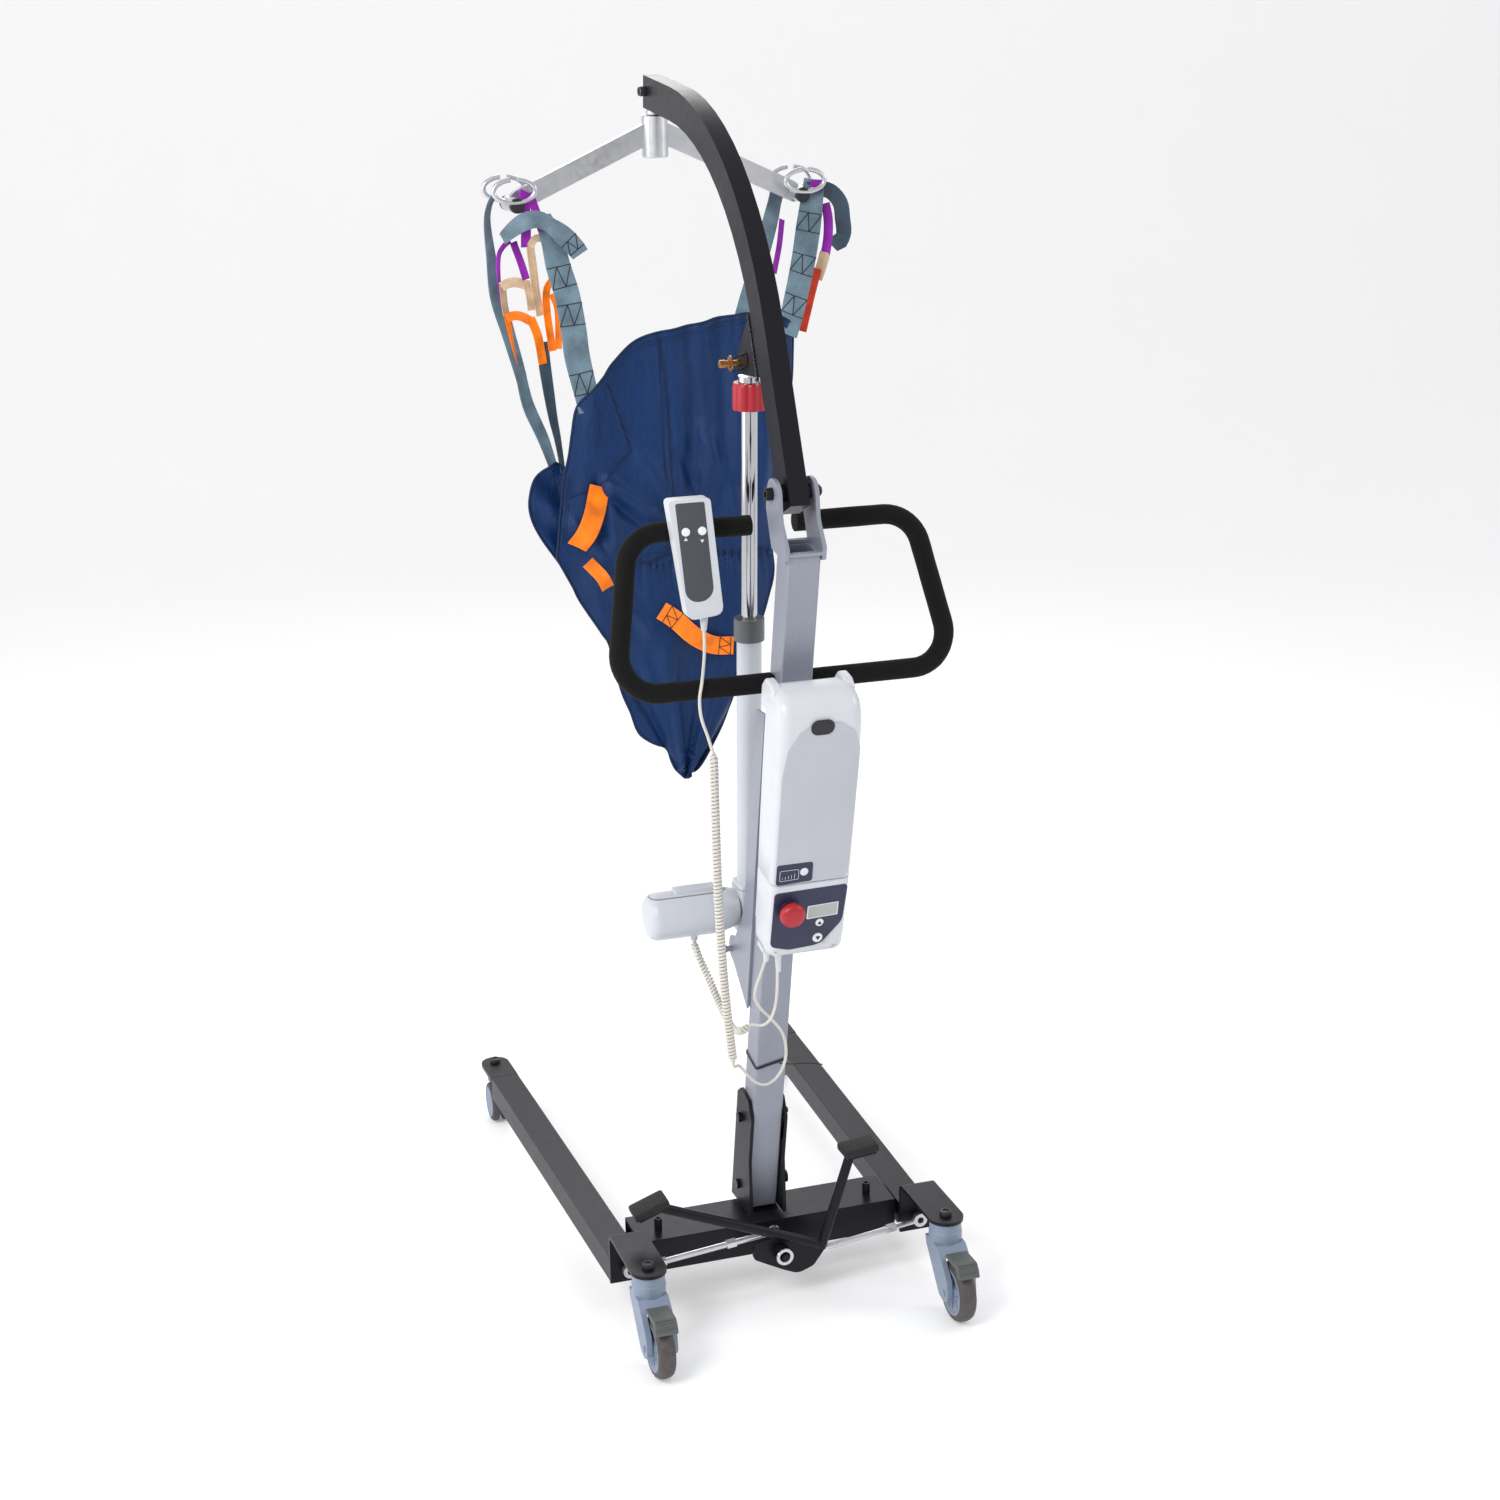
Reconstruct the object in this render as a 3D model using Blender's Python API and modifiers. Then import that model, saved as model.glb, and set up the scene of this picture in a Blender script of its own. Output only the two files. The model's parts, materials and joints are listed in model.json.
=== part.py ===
"""Patient lift hoist: wheeled base with opening legs, leaning mast, electric actuator, boom, spreader bar and sling.

Frame: +Z up, +Y from the mast towards the leg tips, x = 0 is the plane of symmetry, z = 0 is the floor.
All values are in metres. Pieces on the mast are placed in the mast's own frame: x, y forwards, z along the mast.
"""

import math

import bmesh
import bpy
from mathutils import Matrix, Vector

GAP = 0.0003

# Mast
MAST_LEAN = math.radians(11.32)
MAST_FOOT = Vector((0.0, -0.1917, 0.0))
MAST_SIDE = 0.050
MAST_WALL = 0.003
MAST_BOTTOM = 0.1357
MAST_TOP = 1.3066

# Base
BEAM_HALF = 0.2215
BEAM_Y = (-0.282, -0.190)
BEAM_Z = (0.064, 0.120)
BEAM_WALL = 0.004
LEG_PIVOT = (0.182, -0.250)
LEG_STUD_RADIUS = 0.0065
LEG_WIDTH = 0.050
LEG_Z = (0.0698, 0.1116)
LEG_START = (0.2531, -0.2997)
LEG_FRONT_Y = 0.440
LEG_TOE_OUT = 0.0341
LEG_WALL = 0.003
LUG_Z = (0.086, 0.096)
STEM_X = 0.2505
REAR_STEM_Y = -0.428
FRONT_STEM = (0.2806, 0.506)
TIP_PLATE = (0.052, 0.0082)
BRACKET_HALF = 0.029
BRACKET_THICK = 0.006
BRACKET_Z = (0.070, 0.1575)

# Casters
REAR_WHEEL = (0.050, 0.0140)
REAR_TRAIL = 0.055
FRONT_WHEEL = (0.0375, 0.018)
FRONT_TRAIL = 0.012

# Pedal and tie rods
PEDAL_PIVOT_Z = 0.092
ARM_RADIUS = 0.008
ARM_Y = -0.338
PEDAL_CORNER = (0.071, 0.091)
LEFT_PAD = (-0.221, 0.214)
RIGHT_PAD = (0.134, 0.257)
PAD_SIZE = (0.060, 0.042, 0.014)
PAD_SEAT = (0.050, 0.032, 0.004)
LEFT_TILT = math.radians(20.0)
RIGHT_TILT = math.radians(6.0)
TIE_BALL = (0.2505, -0.320, 0.096)
TIE_ANCHOR_RADIUS = 0.028
TIE_ANCHOR_ANGLE = math.radians(11.0)

# Boom
BOOM_PIVOT = Vector((0.0, -0.4207, 1.3597))
BOOM_START = (-0.4313, 1.3360)
BOOM_ANGLES = (math.radians(24.1), math.radians(84.3))
BOOM_STRAIGHT = 0.263
BOOM_BEND = 0.527
BOOM_END = 0.1458
BOOM_DEPTH = 0.052
BOOM_WIDTH = 0.030
BOOM_WALL = 0.003
LUG_FOOT = 0.78
TIP_PIVOT = Vector((0.0, 0.238, 1.900))

# Actuator
LOWER_PIVOT = Vector((0.0, -0.193, 0.572))
UPPER_PIVOT = Vector((0.0, -0.231, 1.522))
ACTUATOR_RADIUS = 0.0195
ROD_RADIUS = 0.0125
MOTOR_RADIUS = 0.039

# Handle
GRIP_RADIUS = 0.015
HANDLE_RADIUS = 0.011
HANDLE_LOW = (0.2664, -0.3987, 1.0724)
HANDLE_HIGH = (0.223, -0.3284, 1.2965)
HANDLE_END_X = 0.035
HANDLE_BEND = 0.055

# Control box, in the mast's frame
BOX_HALF = 0.0655
BOX_Y = (-0.140, -0.0705)
BOX_Z = (0.700, 1.137)
BOX_SEAM = 0.8285
STOP_PLACE = (-0.033, 0.786)

# Spreader and sling
HUB_RADIUS = 0.0215
HUB_Z = (1.795, 1.863)
HOOK_X = 0.247
HOOK_Z = 1.750
HOOK_WIRE = 0.004
SLING_Y = 0.120
SLING_THICK = 0.050

CORD_RADIUS = 0.0024

SCENE = bpy.context.scene


def clear_scene():
    for obj in list(bpy.data.objects):
        bpy.data.objects.remove(obj)


def make_collection(name):
    collection = bpy.data.collections.new(name)
    SCENE.collection.children.link(collection)
    return collection


clear_scene()
PARTS = make_collection("patient_lift_hoist")
CUTTERS = make_collection("cutters")


# ---------------------------------------------------------------- helpers


def paint(name, colour, roughness, metallic=0.0):
    material = bpy.data.materials.new(name)
    material.use_nodes = True
    shader = material.node_tree.nodes["Principled BSDF"]
    shader.inputs["Base Color"].default_value = (*colour, 1.0)
    shader.inputs["Roughness"].default_value = roughness
    shader.inputs["Metallic"].default_value = metallic
    return material


MATERIALS = {
    "dark_paint": paint("dark_paint", (0.035, 0.035, 0.045), 0.45),
    "silver_paint": paint("silver_paint", (0.42, 0.43, 0.48), 0.4, 0.3),
    "white_plastic": paint("white_plastic", (0.75, 0.76, 0.78), 0.35),
    "foam": paint("foam", (0.02, 0.02, 0.022), 0.9),
    "rubber": paint("rubber", (0.04, 0.04, 0.045), 0.8),
    "chrome": paint("chrome", (0.8, 0.8, 0.82), 0.12, 1.0),
    "zinc": paint("zinc", (0.6, 0.6, 0.62), 0.35, 1.0),
    "brass_bolt": paint("brass_bolt", (0.45, 0.28, 0.12), 0.35, 1.0),
    "red_plastic": paint("red_plastic", (0.55, 0.02, 0.04), 0.4),
    "caster_grey": paint("caster_grey", (0.25, 0.32, 0.42), 0.5),
    "tyre": paint("tyre", (0.09, 0.08, 0.08), 0.7),
    "brake_green": paint("brake_green", (0.12, 0.14, 0.13), 0.6),
    "alloy": paint("alloy", (0.5, 0.51, 0.54), 0.4, 0.8),
    "black_steel": paint("black_steel", (0.02, 0.02, 0.022), 0.4, 0.6),
    "navy_fabric": paint("navy_fabric", (0.012, 0.045, 0.12), 0.75),
    "webbing": paint("webbing", (0.19, 0.28, 0.35), 0.8),
    "cord": paint("cord", (0.68, 0.67, 0.62), 0.5),
    "button": paint("button", (0.7, 0.7, 0.72), 0.4),
}


def finish(obj, material=None, frame=None):
    """Gives the object its material and parents it to an empty, where its own coordinates then count."""
    if material:
        obj.data.materials.clear()
        obj.data.materials.append(MATERIALS[material])
    if frame:
        obj.parent = frame
    return obj


def hold(obj, pivot):
    """Parents the object to a joint's empty and leaves it where it stands."""
    obj.parent = pivot
    obj.matrix_parent_inverse = Matrix.Translation(pivot.location).inverted()
    return obj


def empty_at(name, location, tilt=0.0):
    empty = bpy.data.objects.new(name, None)
    empty.location = location
    empty.rotation_euler.x = tilt
    empty.empty_display_size = 0.03
    PARTS.objects.link(empty)
    return empty


def mesh_object(name, mesh, cutter=False):
    obj = bpy.data.objects.new(name, mesh)
    if cutter:
        CUTTERS.objects.link(obj)
        obj.hide_render = True
        obj.display_type = "WIRE"
    else:
        PARTS.objects.link(obj)
    return obj


def smooth(obj, degrees=35.0):
    obj.data.shade_smooth()
    obj.data.set_sharp_from_angle(angle=math.radians(degrees))


def bevel(obj, width, segments=1, angle=40.0):
    modifier = obj.modifiers.new("Bevel", "BEVEL")
    modifier.width = width
    modifier.segments = segments
    modifier.limit_method = "ANGLE"
    modifier.angle_limit = math.radians(angle)
    return obj


def block(name, low, high, cutter=False, turn_y=0.0):
    """A box between two corners, turned about its own centre's Y axis."""
    low = Vector(low)
    high = Vector(high)
    mesh = bpy.data.meshes.new(name)
    bm = bmesh.new()
    bmesh.ops.create_cube(bm, size=1.0)
    bmesh.ops.scale(bm, vec=high - low, verts=bm.verts)
    bm.to_mesh(mesh)
    bm.free()
    obj = mesh_object(name, mesh, cutter)
    obj.location = (low + high) / 2
    obj.rotation_euler.y = turn_y
    return obj


def rod(name, start, end, radius, sides=20, end_radius=None, cutter=False):
    """A cylinder or cone from start to end."""
    start = Vector(start)
    end = Vector(end)
    mesh = bpy.data.meshes.new(name)
    bm = bmesh.new()
    bmesh.ops.create_cone(
        bm,
        cap_ends=True,
        segments=sides,
        radius1=radius,
        radius2=radius if end_radius is None else end_radius,
        depth=(end - start).length,
    )
    bm.to_mesh(mesh)
    bm.free()
    obj = mesh_object(name, mesh, cutter)
    obj.location = (start + end) / 2
    obj.rotation_euler = (end - start).to_track_quat("Z", "Y").to_euler()
    smooth(obj)
    return obj


def turned(name, profile, centre, axis, steps=24, cutter=False):
    """A solid turned about an axis through the centre; the profile is (radius, height) down its outer side."""
    mesh = bpy.data.meshes.new(name)
    bm = bmesh.new()
    verts = [bm.verts.new((radius, 0.0, height)) for radius, height in profile]
    for first, second in zip(verts, verts[1:]):
        bm.edges.new((first, second))
    bm.to_mesh(mesh)
    bm.free()
    obj = mesh_object(name, mesh, cutter)
    obj.location = centre
    obj.rotation_euler = Vector(axis).to_track_quat("Z", "Y").to_euler()
    modifier = obj.modifiers.new("Screw", "SCREW")
    modifier.steps = steps
    modifier.render_steps = steps
    modifier.use_merge_vertices = True
    modifier.merge_threshold = 0.0001
    modifier.use_smooth_shade = True
    return obj


def as_mesh(curve, cutter=False):
    """Turns a curve object into a mesh object whose caps are welded to its sides."""
    bpy.context.view_layer.update()
    graph = bpy.context.evaluated_depsgraph_get()
    name = curve.name
    mesh = bpy.data.meshes.new_from_object(curve.evaluated_get(graph))
    bm = bmesh.new()
    bm.from_mesh(mesh)
    bmesh.ops.remove_doubles(bm, verts=bm.verts, dist=0.00001)
    bmesh.ops.recalc_face_normals(bm, faces=bm.faces)
    bm.to_mesh(mesh)
    bm.free()
    place = curve.matrix_world.copy()
    bpy.data.objects.remove(curve)
    obj = mesh_object(name, mesh, cutter)
    obj.matrix_world = place
    return obj


def prism(name, outline, start, thickness, axis="Y", cutter=False):
    """A flat outline given a thickness along an axis, from start upwards.

    The outline's pairs are (y, z) for axis X, (x, z) for axis Y and (x, y) for axis Z.
    """
    curve = bpy.data.curves.new(name, "CURVE")
    curve.dimensions = "2D"
    curve.fill_mode = "BOTH"
    curve.extrude = thickness / 2
    spline = curve.splines.new("POLY")
    spline.points.add(len(outline) - 1)
    for point, (across, up) in zip(spline.points, outline):
        point.co = (across, up, 0.0, 1.0)
    spline.use_cyclic_u = True
    obj = bpy.data.objects.new(name, curve)
    SCENE.collection.objects.link(obj)
    middle = start + thickness / 2
    turns = {
        "X": Matrix(((0, 0, 1, middle), (1, 0, 0, 0), (0, 1, 0, 0), (0, 0, 0, 1))),
        "Y": Matrix(((1, 0, 0, 0), (0, 0, -1, middle), (0, 1, 0, 0), (0, 0, 0, 1))),
        "Z": Matrix.Translation((0.0, 0.0, middle)),
    }
    obj.matrix_world = turns[axis]
    return as_mesh(obj, cutter)


def pipe(name, points, radius, resolution=3, cutter=False, smooth_shade=True):
    """A round tube with flat ends along the points."""
    curve = bpy.data.curves.new(name, "CURVE")
    curve.dimensions = "3D"
    curve.bevel_depth = radius
    curve.bevel_resolution = resolution
    curve.use_fill_caps = True
    spline = curve.splines.new("POLY")
    spline.points.add(len(points) - 1)
    for point, place in zip(spline.points, points):
        point.co = (*place, 1.0)
    obj = bpy.data.objects.new(name, curve)
    SCENE.collection.objects.link(obj)
    obj = as_mesh(obj, cutter)
    if smooth_shade:
        smooth(obj, 60.0)
    return obj


def filleted(corners, radius, steps=4):
    """The open polyline through the corners, each inner corner turned on an arc of this radius."""
    corners = [Vector(corner) for corner in corners]
    points = [corners[0]]
    for before, corner, after in zip(corners, corners[1:], corners[2:]):
        points += corner_arc(before, corner, after, radius, steps)
    points.append(corners[-1])
    return points


def corner_arc(before, corner, after, radius, steps):
    back = (before - corner).normalized()
    ahead = (after - corner).normalized()
    half = back.angle(ahead) / 2
    centre = corner + (back + ahead).normalized() * radius / math.sin(half)
    first = corner + back * radius / math.tan(half) - centre
    last = corner + ahead * radius / math.tan(half) - centre
    sweep = first.angle(last)
    points = []
    for i in range(steps + 1):
        share = i / steps
        weight_first = math.sin((1 - share) * sweep) / math.sin(sweep)
        weight_last = math.sin(share * sweep) / math.sin(sweep)
        points.append(centre + first * weight_first + last * weight_last)
    return points


def rounded(corners, radius, steps=3):
    """A closed outline whose corners are turned on arcs of this radius, or of one radius each."""
    corners = [Vector(corner) for corner in corners]
    radii = radius if isinstance(radius, (list, tuple)) else [radius] * len(corners)
    points = []
    for i, corner in enumerate(corners):
        if radii[i] == 0:
            points.append(corner)
            continue
        before = corners[i - 1]
        after = corners[(i + 1) % len(corners)]
        points += corner_arc(before, corner, after, radii[i], steps)
    return [(point[0], point[1]) for point in points]


def arc(centre, radius, start, end, steps):
    """Points on an arc, angles in degrees."""
    points = []
    for i in range(steps + 1):
        angle = math.radians(start + (end - start) * i / steps)
        points.append((centre[0] + radius * math.cos(angle), centre[1] + radius * math.sin(angle)))
    return points


def combine(target, tool, operation):
    modifier = target.modifiers.new(operation.title() + "_" + tool.name, "BOOLEAN")
    modifier.operation = operation
    modifier.object = tool
    tool.parent = target.parent
    tool.matrix_parent_inverse = target.matrix_parent_inverse
    return target


def join(target, *tools):
    for tool in tools:
        combine(target, tool, "UNION")
    return target


def cut(target, *tools):
    for tool in tools:
        combine(target, tool, "DIFFERENCE")
    return target


def smooth_path(route, spacing):
    """Points at even spacing on the smooth curve through the route's points."""
    route = [Vector(point) for point in route]
    ends = [2 * route[0] - route[1]] + route + [2 * route[-1] - route[-2]]
    fine = [route[0]]
    for a, b, c, d in zip(ends, ends[1:], ends[2:], ends[3:]):
        for i in range(1, 21):
            t = i / 20
            fine.append(
                0.5
                * (
                    2 * b
                    + (c - a) * t
                    + (2 * a - 5 * b + 4 * c - d) * t**2
                    + (3 * b - a - 3 * c + d) * t**3
                )
            )
    lengths = [0.0]
    for first, second in zip(fine, fine[1:]):
        lengths.append(lengths[-1] + (second - first).length)
    count = max(2, round(lengths[-1] / spacing))
    points = []
    k = 0
    for i in range(count + 1):
        wanted = lengths[-1] * i / count
        while k < len(lengths) - 2 and lengths[k + 1] < wanted:
            k += 1
        share = (wanted - lengths[k]) / (lengths[k + 1] - lengths[k])
        points.append(fine[k].lerp(fine[k + 1], share))
    return points


# ---------------------------------------------------------------- base


def cross_beam():
    low = (-BEAM_HALF, BEAM_Y[0], BEAM_Z[0])
    high = (BEAM_HALF, BEAM_Y[1], BEAM_Z[1])
    beam = block("cross_beam", low, high)
    hollow_low = (-BEAM_HALF - 0.01, BEAM_Y[0] + BEAM_WALL, BEAM_Z[0] + BEAM_WALL)
    hollow_high = (BEAM_HALF + 0.01, BEAM_Y[1] - BEAM_WALL, BEAM_Z[1] - BEAM_WALL)
    cut(beam, block("beam_hollow", hollow_low, hollow_high, cutter=True))
    for side in (-1, 1):
        x = side * LEG_PIVOT[0]
        foot = (x, LEG_PIVOT[1], BEAM_Z[0] + 0.001)
        top = (x, LEG_PIVOT[1], BEAM_Z[1] + 0.022)
        join(beam, rod(f"leg_stud_{side}", foot, top, LEG_STUD_RADIUS, 16, cutter=True))
        mouth = (x, LEG_PIVOT[1], BEAM_Z[1] + 0.010)
        above = (x, LEG_PIVOT[1], BEAM_Z[1] + 0.030)
        cut(beam, rod(f"leg_stud_bore_{side}", mouth, above, 0.0035, 12, cutter=True))
    root = (0.0, BEAM_Y[0] + 0.002, PEDAL_PIVOT_Z)
    tip = (0.0, -0.362, PEDAL_PIVOT_Z)
    join(beam, rod("pedal_stud", root, tip, 0.006, 16, cutter=True))
    finish(beam, "dark_paint")


def mast_bracket(mast):
    """Two side plates beside the mast's foot, joined by a floor plate on the beam."""
    side_outline = rounded(
        [(-0.057, 0.142), (0.040, 0.1215), (0.040, 0.330), (0.026, 0.345), (-0.012, 0.345), (-0.033, 0.318),
         (-0.033, 0.235)],
        [0, 0, 0, 0, 0, 0.006, 0.02],
    )
    inner = MAST_SIDE / 2 + 0.0009
    bracket = prism("mast_bracket", side_outline, inner, 0.0055, "X")
    other = prism("bracket_left", side_outline, -inner - 0.0055, 0.0055, "X", cutter=True)
    floor = block("bracket_floor", (-inner - 0.002, -0.045, 0.1235), (inner + 0.002, 0.036, 0.1285), cutter=True)
    finish(bracket, "dark_paint", mast)
    join(bracket, other, floor)
    below = block("bracket_trim", (-0.1, -0.34, 0.06), (0.1, -0.1, BEAM_Z[1] + GAP), cutter=True)
    modifier = bracket.modifiers.new("Trim", "BOOLEAN")
    modifier.operation = "DIFFERENCE"
    modifier.object = below
    for name, forward, along in (("clamp_hole", 0.014, 0.295), ("lock_hole", 0.008, 0.163)):
        start = (-0.05, forward, along)
        cut(bracket, rod(name, start, (0.05, forward, along), 0.0044, 12, cutter=True))


def mast_bolts(mast):
    bolt = turned(
        "mast_clamp_bolt",
        [(0, 0.0500), (0.0045, 0.0485), (0.0080, 0.0430), (0.0085, 0.0325), (0.004, 0.0325), (0.004, -0.0325),
         (0.0085, -0.0325), (0.0085, -0.0385), (0, -0.0385)],
        (0.0, 0.014, 0.295),
        (1, 0, 0),
        16,
    )
    finish(bolt, "black_steel", mast)
    knob = turned(
        "mast_lock_knob",
        [(0, 0.0525), (0.0105, 0.0525), (0.0105, 0.0495), (0.006, 0.044), (0.006, 0.0385), (0.0085, 0.0365),
         (0.0085, 0.0325), (0.004, 0.0325), (0.004, -0.0325), (0.0085, -0.0325), (0.0085, -0.0365), (0, -0.0365)],
        (0.0, 0.008, 0.163),
        (1, 0, 0),
        16,
    )
    finish(knob, "black_steel", mast)


def mast_tube(mast):
    half = MAST_SIDE / 2
    inner = half - MAST_WALL
    tube = block("mast_tube", (-half, -half, MAST_BOTTOM), (half, half, MAST_TOP))
    finish(tube, "silver_paint", mast)
    hollow = block("mast_hollow", (-inner, -inner, 0.1), (inner, inner, 1.4), cutter=True)
    cut(tube, hollow)
    for name, forward, along, radius in (
        ("mast_clamp_hole", 0.014, 0.295, 0.0044),
        ("mast_lock_hole", 0.008, 0.163, 0.0044),
        ("mast_handle_hole", 0.0075, 1.0921, HANDLE_RADIUS + GAP),
    ):
        hole = rod(name, (-0.05, forward, along), (0.05, forward, along), radius, 16, cutter=True)
        cut(tube, hole)


def mast_clevis(mast):
    outline = rounded(
        [(-0.029, 1.298), (0.032, 1.298), (0.0655, 1.348), (0.0655, 1.4005), (0.020, 1.4005), (0.004, 1.350),
         (-0.029, 1.320)],
        [0.006, 0.006, 0.02, 0.0225, 0.0225, 0.03, 0.006],
        4,
    )
    inner = MAST_SIDE / 2 + GAP
    right = prism("mast_clevis", outline, inner, 0.006, "X")
    left = prism("clevis_left", outline, -inner - 0.006, 0.006, "X", cutter=True)
    low = MAST_TOP + GAP
    high = MAST_TOP + 0.0055
    rear = block("clevis_rear", (-0.0305, -0.0285, low), (0.0305, -0.0215, high), cutter=True)
    front = block("clevis_front", (-0.0305, 0.0215, low), (0.0305, 0.0285, high), cutter=True)
    finish(right, "silver_paint", mast)
    join(right, left, rear, front)
    hole = rod("clevis_hole", (-0.05, 0.0424, 1.3782), (0.05, 0.0424, 1.3782), 0.0055, 16, cutter=True)
    cut(right, hole)
    return right


def boom_pivot_bolt():
    """Bolt through the clevis, with a bush on each side of the boom."""
    bolt = turned(
        "boom_pivot_bolt",
        [(0, 0.0445), (0.006, 0.0435), (0.0095, 0.0400), (0.0095, 0.0318), (0.005, 0.0318), (0.005, 0.0250),
         (0.0125, 0.0250), (0.0125, 0.0155), (0.005, 0.0155), (0.005, -0.0155), (0.0125, -0.0155),
         (0.0125, -0.0250), (0.005, -0.0250), (0.005, -0.0318), (0.0095, -0.0318), (0.0095, -0.0420),
         (0.0045, -0.0420), (0.0045, -0.0390), (0, -0.0390)],
        BOOM_PIVOT,
        (1, 0, 0),
        20,
    )
    finish(bolt, "black_steel")


def handle():
    for side in (-1, 1):
        low = (side * HANDLE_LOW[0], HANDLE_LOW[1], HANDLE_LOW[2])
        high = (side * HANDLE_HIGH[0], HANDLE_HIGH[1], HANDLE_HIGH[2])
        near = (side * 0.0285, HANDLE_LOW[1], HANDLE_LOW[2])
        free = (side * HANDLE_END_X, HANDLE_HIGH[1], HANDLE_HIGH[2])
        name = "left" if side < 0 else "right"
        outer = filleted([near, low, high, free], HANDLE_BEND, 4)
        grip = pipe(f"{name}_foam_grip", outer, GRIP_RADIUS, 2)
        start = (side * 0.02, HANDLE_LOW[1], HANDLE_LOW[2])
        end = (side * 0.025, HANDLE_HIGH[1], HANDLE_HIGH[2])
        inner = filleted([start, low, high, end], HANDLE_BEND, 4)
        cut(grip, pipe(f"{name}_foam_bore", inner, HANDLE_RADIUS + 0.0012, 2, cutter=True))
        finish(grip, "foam")
    corners = []
    for side in (-1, 1):
        low = (side * HANDLE_LOW[0], HANDLE_LOW[1], HANDLE_LOW[2])
        high = (side * HANDLE_HIGH[0], HANDLE_HIGH[1], HANDLE_HIGH[2])
        free = (side * (HANDLE_END_X + 0.001), HANDLE_HIGH[1], HANDLE_HIGH[2])
        corners += [free, high, low] if side < 0 else [low, high, free]
    tube = pipe("handle_tube", filleted(corners, HANDLE_BEND, 4), HANDLE_RADIUS - GAP, 2)
    finish(tube, "dark_paint")


def leg(side):
    """Leg tube with its hinge plate, rear caster bracket and front tip plate, for side -1 (left) or 1 (right)."""
    name = "left" if side < 0 else "right"
    pivot = empty_at(f"{name}_leg_pivot", (side * LEG_PIVOT[0], LEG_PIVOT[1], LUG_Z[0]))
    slope = side * LEG_TOE_OUT
    half = LEG_WIDTH / 2

    def leg_box(label, y0, y1, half_width, z0, z1, cutter=False):
        x0 = side * LEG_START[0] + slope * (y0 - LEG_START[1])
        x1 = side * LEG_START[0] + slope * (y1 - LEG_START[1])
        outline = [(x0 - half_width, y0), (x0 + half_width, y0), (x1 + half_width, y1), (x1 - half_width, y1)]
        return prism(label, outline, z0, z1 - z0, "Z", cutter)

    tube = leg_box(f"{name}_leg_tube", LEG_START[1], LEG_FRONT_Y, half, *LEG_Z)
    inside = leg_box(
        f"{name}_leg_hollow",
        LEG_START[1] - 0.01,
        LEG_FRONT_Y + 0.01,
        half - LEG_WALL,
        LEG_Z[0] + LEG_WALL,
        LEG_Z[1] - LEG_WALL,
        cutter=True,
    )
    hold(tube, pivot)
    cut(tube, inside)
    stud = (side * LEG_PIVOT[0], LEG_PIVOT[1])
    reach = side * (LEG_START[0] - half + 0.002)
    start_angle = 90 if side > 0 else -90
    outline = arc(stud, 0.018, start_angle, start_angle + 180, 8)
    outline += [(reach, stud[1] - side * 0.018), (reach, stud[1] + side * 0.018)]
    plate = prism(f"{name}_hinge_plate", outline, LUG_Z[0], LUG_Z[1] - LUG_Z[0], "Z", cutter=True)
    join(tube, plate)
    bore = rod(f"{name}_hinge_bore", (*stud, 0.05), (*stud, 0.13), LEG_STUD_RADIUS + 0.0005, 20, cutter=True)
    cut(tube, bore)
    finish(tube, "dark_paint")

    stem = side * STEM_X
    bracket = prism(
        f"{name}_caster_bracket",
        bracket_profile(),
        stem - BRACKET_HALF,
        2 * BRACKET_HALF,
        "X",
    )
    hold(bracket, pivot)
    corner = block(
        f"{name}_tongue_trim",
        (stem - 0.04, REAR_STEM_Y - 0.04, 0.14),
        (stem + 0.04, REAR_STEM_Y, 0.17),
        cutter=True,
    )
    keep = rod(
        f"{name}_tongue_end",
        (stem, REAR_STEM_Y, 0.13),
        (stem, REAR_STEM_Y, 0.18),
        BRACKET_HALF,
        28,
        cutter=True,
    )
    cut(corner, keep)
    cut(bracket, corner)
    bore = rod(f"{name}_stem_bore", (stem, REAR_STEM_Y, 0.14), (stem, REAR_STEM_Y, 0.17), 0.0065, 16, cutter=True)
    cut(bracket, bore)
    ball = (stem, TIE_BALL[1], TIE_BALL[2])
    shank = rod(f"{name}_ball_shank", (stem, -0.304, TIE_BALL[2]), (stem, -0.3145, TIE_BALL[2]), 0.0045, 12, cutter=True)
    head = ball_mesh(f"{name}_ball", ball, 0.0072)
    join(bracket, shank, head)
    finish(bracket, "dark_paint")

    tip_x = side * FRONT_STEM[0]
    tip_half = TIP_PLATE[0] / 2
    top = LEG_Z[1]
    start_y = LEG_FRONT_Y + GAP
    start_x = side * LEG_START[0] + slope * (start_y - LEG_START[1])
    outline = [(start_x - tip_half, start_y), (start_x + tip_half, start_y)]
    outline += arc((tip_x, FRONT_STEM[1]), tip_half, 0, 180, 12)
    plate = prism(f"{name}_tip_plate", outline, top - TIP_PLATE[1], TIP_PLATE[1], "Z")
    hold(plate, pivot)
    neck = block(
        f"{name}_tip_neck",
        (start_x - 0.0215, start_y, LEG_Z[0]),
        (start_x + 0.0215, start_y + 0.006, top - 0.002),
        cutter=True,
    )
    join(plate, neck)
    hole = rod(f"{name}_tip_bore", (tip_x, FRONT_STEM[1], 0.09), (tip_x, FRONT_STEM[1], 0.13), 0.0055, 16, cutter=True)
    cut(plate, hole)
    finish(plate, "dark_paint")


def ball_mesh(name, centre, radius):
    mesh = bpy.data.meshes.new(name)
    bm = bmesh.new()
    bmesh.ops.create_uvsphere(bm, u_segments=12, v_segments=6, radius=radius)
    bm.to_mesh(mesh)
    bm.free()
    obj = mesh_object(name, mesh, cutter=True)
    obj.location = centre
    return obj


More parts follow.
